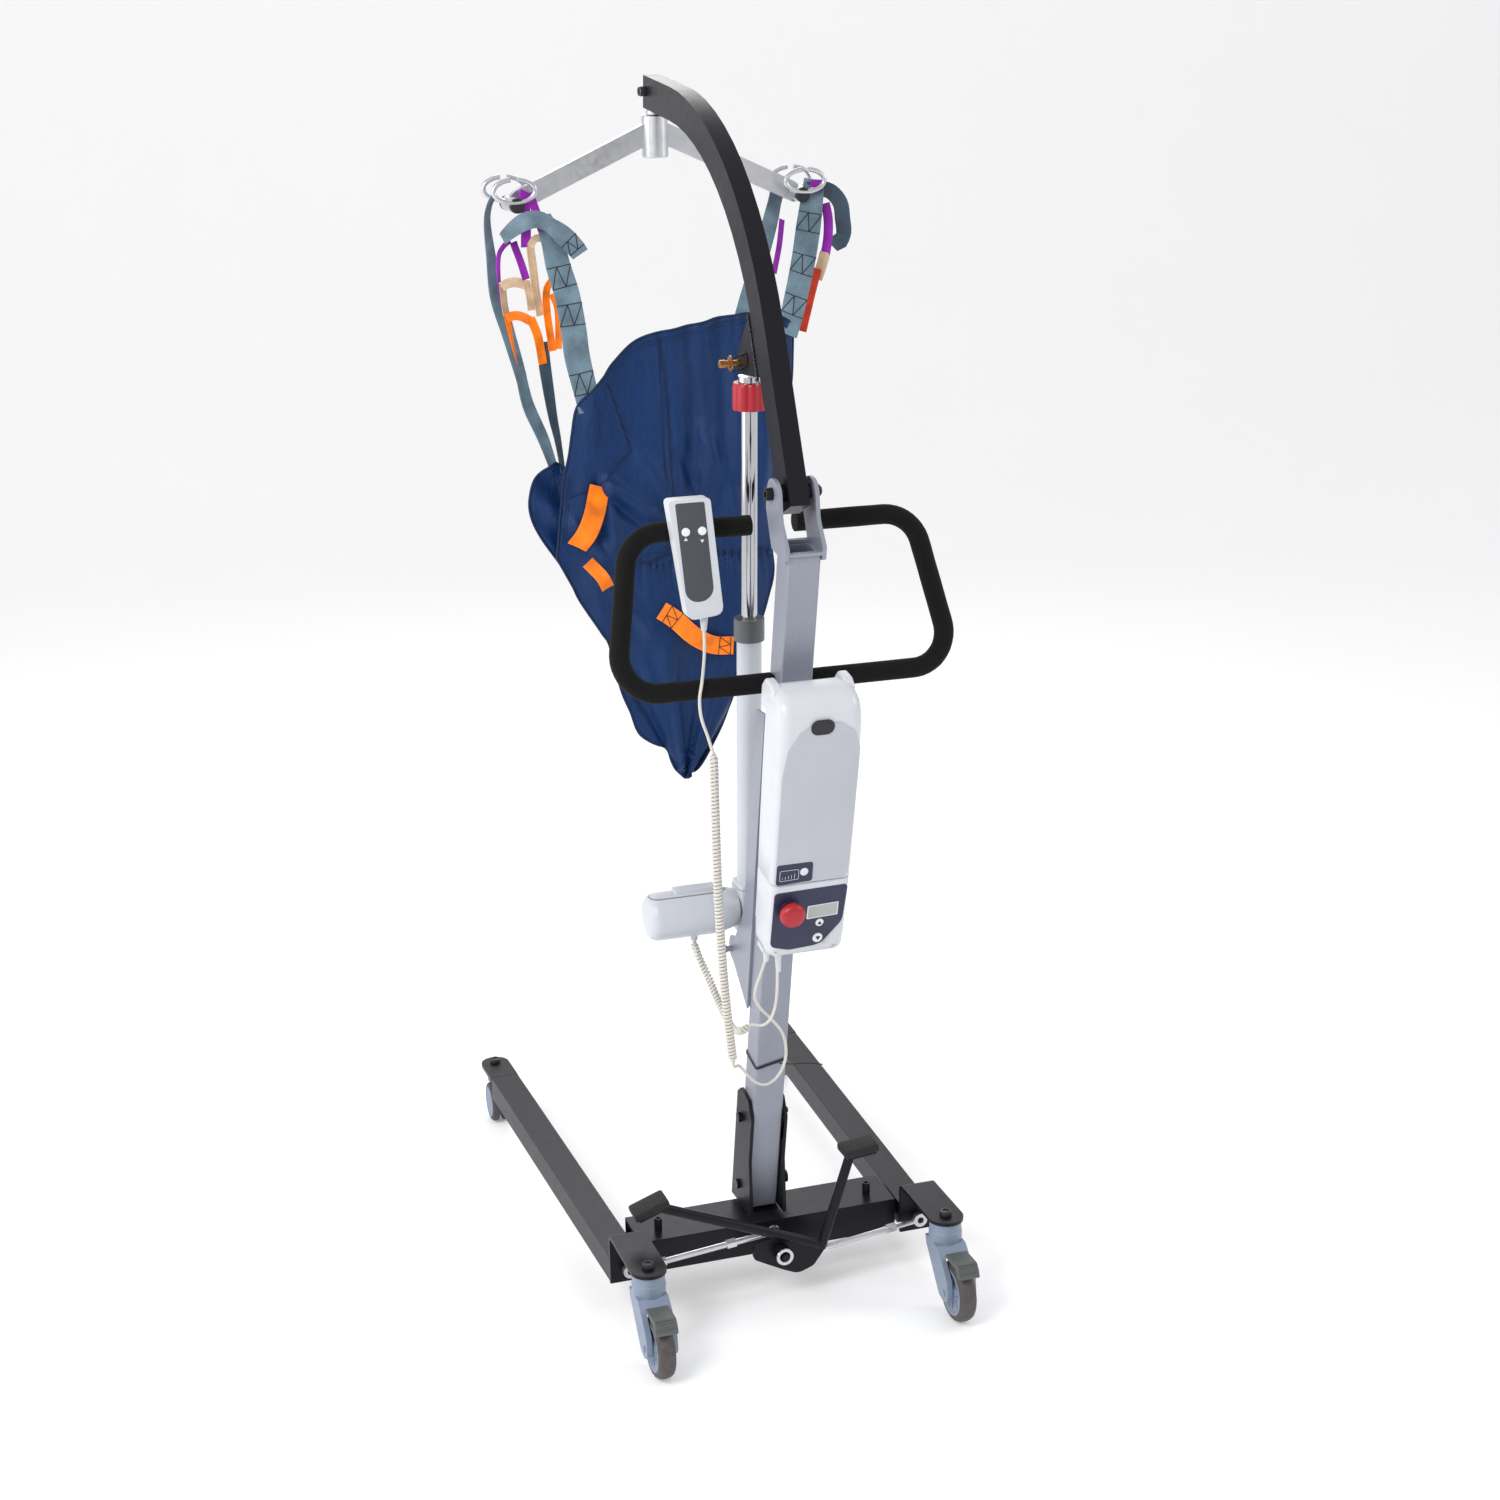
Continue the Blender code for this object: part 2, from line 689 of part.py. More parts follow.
def bracket_profile():
    """The bent plate's side view: a wall on the leg's end, an outer bend and a tongue to the rear."""
    front = -0.3
    top = BRACKET_Z[1]
    end = REAR_STEM_Y - BRACKET_HALF - 0.001
    outer = filleted([(front, BRACKET_Z[0], 0), (front, top, 0), (end, top, 0)], 0.012, 5)
    inner_front = front - BRACKET_THICK
    inner_top = top - BRACKET_THICK
    inner = filleted([(end, inner_top, 0), (inner_front, inner_top, 0), (inner_front, BRACKET_Z[0], 0)], 0.006, 4)
    return [(point[0], point[1]) for point in outer + inner]


def rear_caster(side):
    name = "left" if side < 0 else "right"
    x = side * STEM_X
    axle_y = REAR_STEM_Y - REAR_TRAIL
    radius, half = REAR_WHEEL
    swivel = empty_at(f"{name}_rear_swivel", (x, REAR_STEM_Y, 0.135))
    fork = turned(
        f"{name}_rear_fork",
        [(0, 0.164), (0.0075, 0.164), (0.0095, 0.1605), (0.0095, 0.1578), (0.006, 0.1578), (0.006, 0.1512),
         (0.026, 0.1512), (0.026, 0.1355), (0.027, 0.134), (0.027, 0.119), (0.025, 0.112), (0.0, 0.112)],
        (x, REAR_STEM_Y, 0.0),
        (0, 0, 1),
        18,
    )
    hold(fork, swivel)
    crown_y = REAR_STEM_Y
    outline = rounded(
        [(crown_y + 0.024, 0.117), (crown_y + 0.020, 0.104), (axle_y + 0.020, 0.038), (axle_y - 0.002, 0.033),
         (axle_y - 0.017, 0.045), (axle_y - 0.012, 0.075), (crown_y - 0.040, 0.104), (crown_y - 0.024, 0.117)],
        [0, 0.01, 0.014, 0.014, 0.012, 0.02, 0.02, 0],
        3,
    )
    shell = prism(f"{name}_fork_shell", outline, x - 0.0250, 0.050, "X", cutter=True)
    slot = block(
        f"{name}_fork_slot",
        (x - half - 0.002, axle_y - 0.06, 0.0),
        (x + half + 0.002, REAR_STEM_Y + 0.03, 0.1035),
        cutter=True,
    )
    join(fork, shell)
    cut(fork, slot)
    axle = rod(f"{name}_rear_axle", (x - 0.0265, axle_y, 0.05), (x + 0.0265, axle_y, 0.05), 0.005, 14, cutter=True)
    join(fork, axle)
    finish(fork, "caster_grey")

    spin = empty_at(f"{name}_rear_spin", (x, axle_y, radius))
    wheel = turned(
        f"{name}_rear_wheel",
        [(0.0056, half), (0.014, half), (0.016, half - 0.004), (0.033, half - 0.004), (0.035, half),
         (0.044, half), (radius, half - 0.007), (radius, -half + 0.007), (0.044, -half), (0.035, -half),
         (0.033, -half + 0.004), (0.016, -half + 0.004), (0.014, -half), (0.0056, -half), (0.0056, half)],
        (x, axle_y, radius),
        (1, 0, 0),
        20,
    )
    hold(wheel, spin)
    finish(wheel, "tyre")

    hinge = empty_at(f"{name}_brake_pivot", (x, axle_y + 0.012, 0.118))
    tab_outline = rounded(
        [(axle_y + 0.010, 0.1135), (axle_y + 0.012, 0.1065), (axle_y - 0.030, 0.1055), (axle_y - 0.0405, 0.091),
         (axle_y - 0.0445, 0.093), (axle_y - 0.034, 0.1135)],
        [0.002, 0.002, 0.008, 0.001, 0.001, 0.010],
        3,
    )
    tab = prism(f"{name}_brake_pedal", tab_outline, x - 0.0185, 0.037, "X")
    hold(tab, hinge)
    finish(tab, "brake_green")


def front_caster(side):
    """Twin-wheel caster: a stem and mudguard block between two wheels, on one axle."""
    name = "left" if side < 0 else "right"
    x = side * FRONT_STEM[0]
    stem_y = FRONT_STEM[1]
    axle_y = stem_y - FRONT_TRAIL
    radius, half = FRONT_WHEEL
    swivel = empty_at(f"{name}_front_swivel", (x, stem_y, 0.09))
    underside = LEG_Z[1] - TIP_PLATE[1]
    fork = turned(
        f"{name}_front_fork",
        [(0, 0.1185), (0.0065, 0.1185), (0.0080, 0.1165), (0.0080, 0.1119), (0.005, 0.1119), (0.005, underside - GAP),
         (0.013, underside - GAP), (0.013, 0.090), (0.016, 0.088), (0.016, 0.0765), (0, 0.0765)],
        (x, stem_y, 0.0),
        (0, 0, 1),
        14,
    )
    hold(fork, swivel)
    outline = arc((axle_y, radius), radius + 0.004, 20, 160, 10)
    outline += arc((axle_y, radius), 0.012, 200, 340, 5)
    web = prism(f"{name}_front_web", outline, x - 0.0035, 0.007, "X", cutter=True)
    join(fork, web)
    bearing = rod(f"{name}_front_bearing", (x - 0.01, axle_y, radius), (x + 0.01, axle_y, radius), 0.0070, 16, cutter=True)
    cut(fork, bearing)
    finish(fork, "caster_grey")

    spin = empty_at(f"{name}_front_spin", (x, axle_y, radius))
    inner = 0.0042
    wheel = turned(
        f"{name}_front_wheel",
        [(0, half), (0.030, half), (0.035, half - 0.002), (radius, half - 0.005), (radius, inner), (0.0062, inner),
         (0.0062, -inner), (radius, -inner), (radius, -half + 0.005), (0.035, -half + 0.002), (0.030, -half),
         (0, -half)],
        (x, axle_y, radius),
        (1, 0, 0),
        20,
    )
    hold(wheel, spin)
    finish(wheel, "tyre")
    return wheel


# ---------------------------------------------------------------- pedal linkage


def tie_anchor(side):
    """The tie rod's inner end, on the lever: above the pivot for the left rod, below it for the right one."""
    reach = -side * TIE_ANCHOR_RADIUS
    x = side * TIE_ANCHOR_RADIUS * math.sin(TIE_ANCHOR_ANGLE)
    return (x, PEDAL_PIVOT_Z + reach * math.cos(TIE_ANCHOR_ANGLE))


def pedal():
    pivot = empty_at("pedal_pivot", (0.0, ARM_Y, PEDAL_PIVOT_Z))
    plate_outline = rounded(
        [(-0.048, 0.106), (-0.046, 0.084), (0.004, 0.057), (0.030, 0.0455), (0.057, 0.055), (0.078, 0.084),
         (0.080, 0.096), (0.066, 0.100), (0.0, 0.121)],
        [0.008, 0.01, 0.02, 0.022, 0.018, 0.008, 0.004, 0.004, 0.02],
        3,
    )
    lever = prism("pedal_lever", plate_outline, -0.3355, 0.006, "Y")
    hold(lever, pivot)
    corner = (PEDAL_CORNER[0], ARM_Y, PEDAL_CORNER[1])
    left_end = pad_seat(LEFT_PAD, LEFT_TILT, 0.018)
    right_end = pad_seat(RIGHT_PAD, RIGHT_TILT, -0.016)
    join(lever, rod("left_arm", corner, left_end, ARM_RADIUS, 14, cutter=True))
    join(lever, rod("right_arm", (corner[0] - 0.002, corner[1], corner[2] - 0.004), right_end, ARM_RADIUS, 14, cutter=True))
    boss = rod("pedal_boss", (0, -0.3285, PEDAL_PIVOT_Z), (0, -0.3555, PEDAL_PIVOT_Z), 0.014, 24, cutter=True)
    join(lever, boss)
    bore = rod("pedal_bore", (0, -0.32, PEDAL_PIVOT_Z), (0, -0.37, PEDAL_PIVOT_Z), 0.0065, 20, cutter=True)
    cut(lever, bore)
    for side in (-1, 1):
        x, z = tie_anchor(side)
        join(lever, rod(f"anchor_{side}", (x, -0.331, z), (x, -0.3225, z), 0.0035, 10, cutter=True))
    finish(lever, "dark_paint")
    for label, centre, tilt in (("left", LEFT_PAD, LEFT_TILT), ("right", RIGHT_PAD, RIGHT_TILT)):
        pad = pad_block(f"{label}_pedal_pad", centre, tilt, PAD_SIZE, 0.0)
        hold(bevel(pad, 0.004, 2), pivot)
        finish(pad, "rubber")
        drop = PAD_SIZE[2] / 2 + GAP + PAD_SEAT[2] / 2
        join(lever, pad_block(f"{label}_pad_seat", centre, tilt, PAD_SEAT, drop, cutter=True))


def pad_seat(pad, tilt, along):
    """Where the arm ends under the pad, this far along it, so that its end stays inside the seat plate."""
    centre = Vector((pad[0], ARM_Y, pad[1])) + Vector((math.cos(tilt), 0.0, math.sin(tilt))) * along
    arm = (centre - Vector((PEDAL_CORNER[0], ARM_Y, PEDAL_CORNER[1]))).normalized()
    normal = Vector((-math.sin(tilt), 0.0, math.cos(tilt)))
    below = PAD_SIZE[2] / 2 + 0.0015 + ARM_RADIUS * math.sin(arm.angle(normal))
    return centre - normal * below


def pad_block(name, centre, tilt, size, drop, cutter=False):
    """A block tilted with its +X end up, dropped along its own normal."""
    middle = Vector((centre[0], ARM_Y, centre[1])) - Vector((-math.sin(tilt), 0.0, math.cos(tilt))) * drop
    half = Vector(size) / 2
    return block(name, middle - half, middle + half, cutter, -tilt)


def tie_rod(side):
    name = "left" if side < 0 else "right"
    ball = Vector((side * TIE_BALL[0], TIE_BALL[1], TIE_BALL[2]))
    x, z = tie_anchor(side)
    inner = Vector((x, -0.319, z))
    along = (inner - ball).normalized()
    pivot = empty_at(f"{name}_tie_pivot", ball)
    start = ball + along * 0.010
    end = inner - along * 0.010
    body = rod(f"{name}_tie_rod", start, end, 0.005, 12)
    hold(body, pivot)
    ring = rod(f"{name}_tie_ring", ball - Vector((0, 0.005, 0)), ball + Vector((0, 0.0045, 0)), 0.0118, 20, cutter=True)
    join(body, ring)
    for label, distance in (("outer", 0.052), ("inner", (inner - ball).length - 0.075)):
        middle = ball + along * distance
        nut = rod(f"{name}_{label}_nut", middle - along * 0.008, middle + along * 0.008, 0.0082, 6, cutter=True)
        join(body, nut)
    eye = rod(f"{name}_tie_eye", inner + Vector((0, 0.0035, 0)), inner - Vector((0, 0.0030, 0)), 0.0105, 16, cutter=True)
    join(body, eye)
    socket = ball_mesh(f"{name}_tie_socket", ball, 0.0078)
    bore = rod(f"{name}_tie_bore", inner + Vector((0, 0.01, 0)), inner - Vector((0, 0.01, 0)), 0.0060, 14, cutter=True)
    front = rod(f"{name}_tie_mouth", ball, ball + Vector((0, 0.02, 0)), 0.0068, 14, cutter=True)
    cut(body, socket, front, bore)
    finish(body, "zinc")


# ---------------------------------------------------------------- boom


def boom_line(offset):
    """Points along the boom at a distance outside its centreline, as (y, z)."""
    first, last = BOOM_ANGLES
    start = Vector(BOOM_START)
    ahead = Vector((math.sin(first), math.cos(first)))
    right = Vector((math.cos(first), -math.sin(first)))
    bend_start = start + ahead * BOOM_STRAIGHT
    centre = bend_start + right * BOOM_BEND
    points = [start - right * offset]
    steps = 12
    for i in range(steps + 1):
        angle = first + (last - first) * i / steps
        points.append(centre - Vector((math.cos(angle), -math.sin(angle))) * (BOOM_BEND + offset))
    points.append(points[-1] + Vector((math.sin(last), math.cos(last))) * BOOM_END)
    return [(point.x, point.y) for point in points]


def boom():
    pivot = empty_at("boom_pivot", BOOM_PIVOT)
    half = BOOM_DEPTH / 2
    outline = boom_line(half) + boom_line(-half)[::-1]
    tube = prism("boom_tube", outline, -BOOM_WIDTH / 2, BOOM_WIDTH, "X")
    hold(tube, pivot)
    inner = half - BOOM_WALL
    above = boom_line(inner)
    below = boom_line(-inner)
    shift = Vector((math.sin(BOOM_ANGLES[0]), math.cos(BOOM_ANGLES[0]))) * BOOM_WALL
    above[0] = (above[0][0] + shift.x, above[0][1] + shift.y)
    below[0] = (below[0][0] + shift.x, below[0][1] + shift.y)
    above.append((above[-1][0] + 0.02, above[-1][1] + 0.002))
    below.append((below[-1][0] + 0.02, below[-1][1] + 0.002))
    hollow = prism("boom_hollow", above + below[::-1], -BOOM_WIDTH / 2 + BOOM_WALL, BOOM_WIDTH - 2 * BOOM_WALL, "X", cutter=True)
    fork = block("boom_fork", (-0.012, TIP_PIVOT.y - 0.045, 1.84), (0.012, TIP_PIVOT.y + 0.03, 1.888), cutter=True)
    bore = rod("boom_bore", BOOM_PIVOT - Vector((0.03, 0, 0)), BOOM_PIVOT + Vector((0.03, 0, 0)), 0.0055, 16, cutter=True)
    tip_bore = rod("tip_bore", TIP_PIVOT - Vector((0.03, 0, 0)), TIP_PIVOT + Vector((0.03, 0, 0)), 0.0047, 16, cutter=True)
    cut(tube, hollow, fork, bore, tip_bore)
    finish(tube, "dark_paint")

    lug(pivot)
    bolt = turned(
        "actuator_top_bolt",
        [(0, 0.0245), (0.008, 0.0245), (0.008, 0.0175), (0.0048, 0.0175), (0.0048, -0.038), (0.006, -0.038),
         (0.006, -0.047), (0, -0.047)],
        UPPER_PIVOT,
        (1, 0, 0),
        16,
    )
    hold(bolt, pivot)
    finish(bolt, "brass_bolt")


def lug(pivot):
    """Two plates under the boom that hold the actuator's top bolt, on a strip against the boom's face."""
    edge = boom_line(-BOOM_DEPTH / 2 - GAP)
    inner = boom_line(-BOOM_DEPTH / 2 - 0.004)
    top = edge[2]
    low = Vector(edge[0]).lerp(Vector(edge[1]), LUG_FOOT)
    eye = (UPPER_PIVOT.y, UPPER_PIVOT.z)
    outline = [edge[1], top] + arc(eye, 0.017, 60, -100, 7) + [(low.x, low.y)]
    right = prism("boom_lug", outline, 0.0100, 0.0045, "X")
    left = prism("lug_left", outline, -0.0145, 0.0045, "X", cutter=True)
    low_inner = Vector(inner[0]).lerp(Vector(inner[1]), LUG_FOOT)
    strip_outline = [(low.x, low.y), edge[1], top, inner[2], inner[1], (low_inner.x, low_inner.y)]
    strip = prism("lug_strip", strip_outline, -0.0125, 0.025, "X", cutter=True)
    hold(right, pivot)
    join(right, left, strip)
    bore = rod("lug_bore", UPPER_PIVOT - Vector((0.03, 0, 0)), UPPER_PIVOT + Vector((0.03, 0, 0)), 0.0052, 16, cutter=True)
    cut(right, bore)
    finish(right, "dark_paint")


# ---------------------------------------------------------------- actuator


def along_actuator(height):
    """The point on the actuator's axis at a height above the floor."""
    share = (height - LOWER_PIVOT.z) / (UPPER_PIVOT.z - LOWER_PIVOT.z)
    return LOWER_PIVOT.lerp(UPPER_PIVOT, share)


def actuator():
    axis = (UPPER_PIVOT - LOWER_PIVOT).normalized()
    pivot = empty_at("actuator_pivot", LOWER_PIVOT)
    body = rod("actuator_housing", along_actuator(0.655), along_actuator(1.0905), ACTUATOR_RADIUS, 20)
    hold(body, pivot)
    collar = rod("actuator_collar", along_actuator(1.0903), along_actuator(1.126), 0.024, 20, cutter=True)
    case = block("actuator_case", (-0.024, -0.226, 0.598), (0.024, -0.168, 0.690), cutter=True)
    bevel(case, 0.012, 2)
    tongue = block("actuator_tongue", (-0.012, -0.209, 0.556), (0.012, -0.177, 0.610), cutter=True)
    bevel(tongue, 0.008, 2)
    join(body, collar, case, tongue)
    eye = rod("actuator_eye", LOWER_PIVOT - Vector((0.03, 0, 0)), LOWER_PIVOT + Vector((0.03, 0, 0)), 0.0055, 16, cutter=True)
    bore = rod("actuator_bore", along_actuator(0.70), along_actuator(1.14), ROD_RADIUS + 0.0006, 20, cutter=True)
    cut(body, eye, bore)
    finish(body, "white_plastic")

    motor = turned(
        "actuator_motor",
        [(0, 0.1755), (0.022, 0.1745), (0.033, 0.1700), (MOTOR_RADIUS, 0.160), (MOTOR_RADIUS, 0.062),
         (0.0365, 0.050), (0.030, 0.0245), (0, 0.0245)],
        (0.0, -0.197, 0.645),
        (-1, 0, 0),
        20,
    )
    hold(motor, pivot)
    rib = block("motor_rib", (-0.128, -0.208, 0.678), (-0.058, -0.186, 0.688), cutter=True)
    boot = rod("motor_boot", (-0.095, -0.200, 0.609), (-0.095, -0.2005, 0.598), 0.0052, 10, cutter=True)
    join(motor, rib, boot)
    finish(motor, "white_plastic")

    slide = empty_at("rod_slide", along_actuator(1.126))
    shaft = rod("actuator_rod", along_actuator(0.955), along_actuator(1.4935), ROD_RADIUS, 20)
    hold(shaft, slide)
    sleeve = rod("rod_sleeve", along_actuator(1.4925), along_actuator(1.5025), 0.0170, 20, cutter=True)
    join(shaft, sleeve)
    finish(shaft, "chrome")

    turn = empty_at("knob_turn", along_actuator(1.472))
    lobes = []
    for i in range(32):
        angle = 2 * math.pi * i / 32
        reach = 0.0248 + 0.0013 * math.cos(8 * angle)
        lobes.append((reach * math.cos(angle), reach * math.sin(angle)))
    knob = prism("lowering_knob", lobes, 0.0, 0.0412, "Z")
    knob.location = along_actuator(1.4714)
    knob.rotation_euler = axis.to_track_quat("Z", "Y").to_euler()
    hold(knob, turn)
    hole = rod("knob_bore", along_actuator(1.44), along_actuator(1.50), ROD_RADIUS + 0.0006, 20, cutter=True)
    cut(knob, hole)
    finish(knob, "red_plastic")


def actuator_mount(mast):
    """Channel on the mast's front face, with two ears that hold the actuator's lower bolt."""
    inner = 0.0260
    plate = 0.0030
    front = MAST_SIDE / 2 + GAP
    outline = rounded(
        [(front, 0.500), (0.100, 0.541), (0.128, 0.548), (0.126, 0.578), (0.100, 0.590), (0.066, 0.660),
         (0.066, 1.020), (front, 1.030)],
        [0, 0.02, 0.0135, 0.0135, 0.02, 0.03, 0.01, 0],
        3,
    )
    right = prism("actuator_mount", outline, inner, plate, "X")
    left = prism("mount_left", outline, -inner - plate, plate, "X", cutter=True)
    back = block("mount_back", (-inner - 0.001, front, 0.503), (inner + 0.001, front + 0.003, 1.027), cutter=True)
    finish(right, "silver_paint", mast)
    join(right, left, back)
    centre = (0.0, 0.1110, 0.5611)
    bolt = turned(
        "mount_bolt",
        [(0, 0.0355), (0.008, 0.0355), (0.008, 0.0275), (0.0048, 0.0275), (0.0048, -0.038), (0.006, -0.038),
         (0.006, -0.0465), (0, -0.0465)],
        centre,
        (1, 0, 0),
        16,
        cutter=True,
    )
    join(right, bolt)


# ---------------------------------------------------------------- control box


def control_box(mast):
    half = BOX_HALF
    low = block("control_housing", (-half + 0.002, BOX_Y[0], BOX_Z[0]), (half - 0.002, BOX_Y[1], BOX_SEAM - 0.0005))
    finish(low, "white_plastic", mast)
    bevel(low, 0.010, 2)
    rear = block("housing_rear", (-0.046, -0.0715, BOX_Z[0] + 0.01), (0.046, -MAST_SIDE / 2 - 0.0008, 1.100), cutter=True)
    bevel(rear, 0.006, 1)
    join(low, rear)
    holes = (
        ("stop_hole", STOP_PLACE[0], STOP_PLACE[1], 0.0098, 0.130),
        ("raise_hole", 0.017, 0.757, 0.0068, 0.1350),
        ("lower_hole", 0.0155, 0.7305, 0.0083, 0.1350),
    )
    for name, x, along, radius, depth in holes:
        cut(low, rod(name, (x, -depth, along), (x, -0.16, along), radius, 18, cutter=True))

    pack = block("battery_pack", (-half, BOX_Y[0] - 0.001, BOX_SEAM + 0.0005), (half, BOX_Y[1] - 0.0014, BOX_Z[1]))
    finish(pack, "white_plastic", mast)
    bevel(pack, 0.012, 2)
    for side in (-1, 1):
        x0 = side * 0.0485
        x1 = side * 0.0645
        ear = block(f"battery_ear_{side}", (min(x0, x1), -0.085, 1.075), (max(x0, x1), -0.047, 1.132), cutter=True)
        bevel(ear, 0.007, 2)
        join(pack, ear)

    stop = turned(
        "emergency_stop",
        [(0, 0.1665), (0.013, 0.1655), (0.0185, 0.1615), (0.0195, 0.1570), (0.0185, 0.1500), (0.0092, 0.1490),
         (0.0092, 0.1345), (0, 0.1345)],
        (STOP_PLACE[0], 0.0, STOP_PLACE[1]),
        (0, -1, 0),
        18,
    )
    finish(stop, "red_plastic", mast)
    for name, x, along, radius in (("raise_button", 0.017, 0.757, 0.0064), ("lower_button", 0.0155, 0.7305, 0.0079)):
        button = rod(name, (x, -0.1374, along), (x, -0.1422, along), radius, 18)
        finish(button, "button", mast)

    glands = block("cable_gland_block", (-0.058, -0.106, BOX_Z[0] - 0.0075), (0.040, -0.082, BOX_Z[0] - 0.0004))
    finish(glands, "white_plastic", mast)
    first = rod("gland_short", (-0.0485, -0.096, 0.6935), (-0.0475, -0.096, 0.6700), 0.0055, 12, 0.0040, cutter=True)
    second = rod("gland_long", (-0.0300, -0.096, 0.6935), (-0.0262, -0.096, 0.6480), 0.0060, 12, 0.0040, cutter=True)
    foot = rod("box_foot", (0.0280, -0.096, 0.6935), (0.0280, -0.096, 0.6860), 0.0090, 16, cutter=True)
    join(glands, first, second, foot)


# ---------------------------------------------------------------- spreader and sling


def hanger():
    pitch = empty_at("hanger_pitch", TIP_PIVOT)
    swivel = empty_at("spreader_swivel", (TIP_PIVOT.x, TIP_PIVOT.y, HUB_Z[1]))
    y = TIP_PIVOT.y
    stem = rod("hanger_stem", (0, y, HUB_Z[1] + 0.0005), (0, y, 1.8700), 0.0140, 20)
    hold(stem, pitch)
    knuckle = block("hanger_knuckle", (-0.0112, y - 0.011, 1.868), (0.0112, y + 0.011, 1.911), cutter=True)
    bevel(knuckle, 0.004, 2)
    pin = turned(
        "hanger_pin",
        [(0, 0.0225), (0.0075, 0.0225), (0.0075, 0.0155), (0.0044, 0.0155), (0.0044, -0.0155), (0.0075, -0.0155),
         (0.0075, -0.0250), (0, -0.0250)],
        TIP_PIVOT,
        (1, 0, 0),
        16,
        cutter=True,
    )
    post = rod("hanger_post", (0, y, 1.800), (0, y, 1.870), 0.0085, 20, cutter=True)
    nut = rod("hanger_nut", (0, y, 1.7965), (0, y, 1.8040), 0.0130, 6, cutter=True)
    join(stem, knuckle, pin, post, nut)
    finish(stem, "alloy")

    bar = turned(
        "spreader_bar",
        [(0.0090, HUB_Z[1]), (0.0195, HUB_Z[1]), (HUB_RADIUS, HUB_Z[1] - 0.002), (HUB_RADIUS, HUB_Z[0] + 0.002),
         (0.0195, HUB_Z[0]), (0.0090, HUB_Z[0]), (0.0090, HUB_Z[1])],
        (0.0, y, 0.0),
        (0, 0, 1),
        20,
    )
    hold(bar, swivel)
    for side in (-1, 1):
        outline = [
            (side * 0.012, 1.8530),
            (side * 0.012, 1.8165),
            (side * 0.236, 1.7160),
            (side * 0.246, 1.7170),
            (side * 0.246, 1.7440),
            (side * 0.238, 1.7500),
        ]
        arm = prism(f"spreader_arm_{side}", outline if side < 0 else outline[::-1], y - 0.0075, 0.015, "Y", cutter=True)
        end = rod(f"end_tube_{side}", (side * 0.243, y - 0.030, 1.729), (side * 0.243, y + 0.030, 1.729), 0.012, 20, cutter=True)
        join(bar, arm, end)
    recess = rod("hub_recess", (0, y, 1.78), (0, y, 1.8045), 0.0150, 20, cutter=True)
    cut(bar, recess)
    finish(bar, "alloy")

    for side in (-1, 1):
        name = "left" if side < 0 else "right"
        hooks(name, side, y, swivel)
    return swivel


def hooks(name, side, y, swivel):
    """Two open oval loops of wire, in front of and behind the end tube, joined by a cross pin."""
    x = side * HOOK_X
    near = None
    for label, offset in (("front", 0.0365), ("rear", -0.0365)):
        path = []
        for i in range(17):
            angle = math.radians(100 + 340 * i / 16)
            wide = 0.034 * math.cos(angle)
            high = 0.0185 * math.sin(angle)
            path.append((x + side * wide, y + offset, HOOK_Z + 0.002 + high))
        if near is None:
            near = pipe(f"{name}_hook", path, HOOK_WIRE, 2)
            hold(near, swivel)
            continue
        join(near, pipe(f"{name}_rear_hook", path, HOOK_WIRE, 2, cutter=True))
    low = HOOK_Z + 0.002 - 0.0185
    for label, start, end in (("front", 0.0305, 0.0400), ("rear", -0.0400, -0.0305)):
        cap = rod(f"{name}_{label}_cap", (side * 0.243, y + start, 1.729), (side * 0.243, y + end, 1.729), 0.0125, 16, cutter=True)
        join(near, cap)
    link = rod(f"{name}_hook_link", (side * 0.262, y - 0.0365, low + 0.003), (side * 0.262, y + 0.0365, low + 0.003), 0.0032, 10, cutter=True)
    join(near, link)
    finish(near, "alloy")


def sling(swivel):
    """The hanging fabric and its straps as plain closed solids."""
    outline = [
        (0.196, 1.521), (0.165, 1.542), (0.085, 1.552), (0.000, 1.540), (-0.074, 1.521), (-0.142, 1.459),
        (-0.186, 1.381), (-0.201, 1.300), (-0.238, 1.334), (-0.264, 1.305), (-0.266, 1.248), (-0.219, 1.169),
        (-0.155, 1.046), (-0.100, 0.858), (-0.017, 0.774), (0.023, 0.818), (0.119, 1.037), (0.152, 1.112),
        (0.189, 1.406),
    ]
    body = prism("sling_body", outline[::-1], SLING_Y - SLING_THICK / 2, SLING_THICK, "Y")
    hold(body, swivel)
    finish(body, "navy_fabric")

    y = TIP_PIVOT.y
    for side in (-1, 1):
        name = "left" if side < 0 else "right"
        top = HOOK_Z - 0.046
        if side < 0:
            outline = [(-0.296, top), (-0.205, top), (-0.178, 1.560), (-0.150, 1.478), (-0.205, 1.400), (-0.252, 1.345),
                       (-0.285, 1.560)]
            corners = (0.175, 0.065)
        else:
            outline = [(0.205, top), (0.288, top), (0.255, 1.600), (0.222, 1.545), (0.150, 1.558)]
            corners = (0.165, 0.060)
        middle, thick = corners
        straps = prism(f"{name}_straps", outline[::-1], middle - thick / 2, thick, "Y")
        hold(straps, swivel)
        finish(straps, "webbing")


# ---------------------------------------------------------------- handset and cords


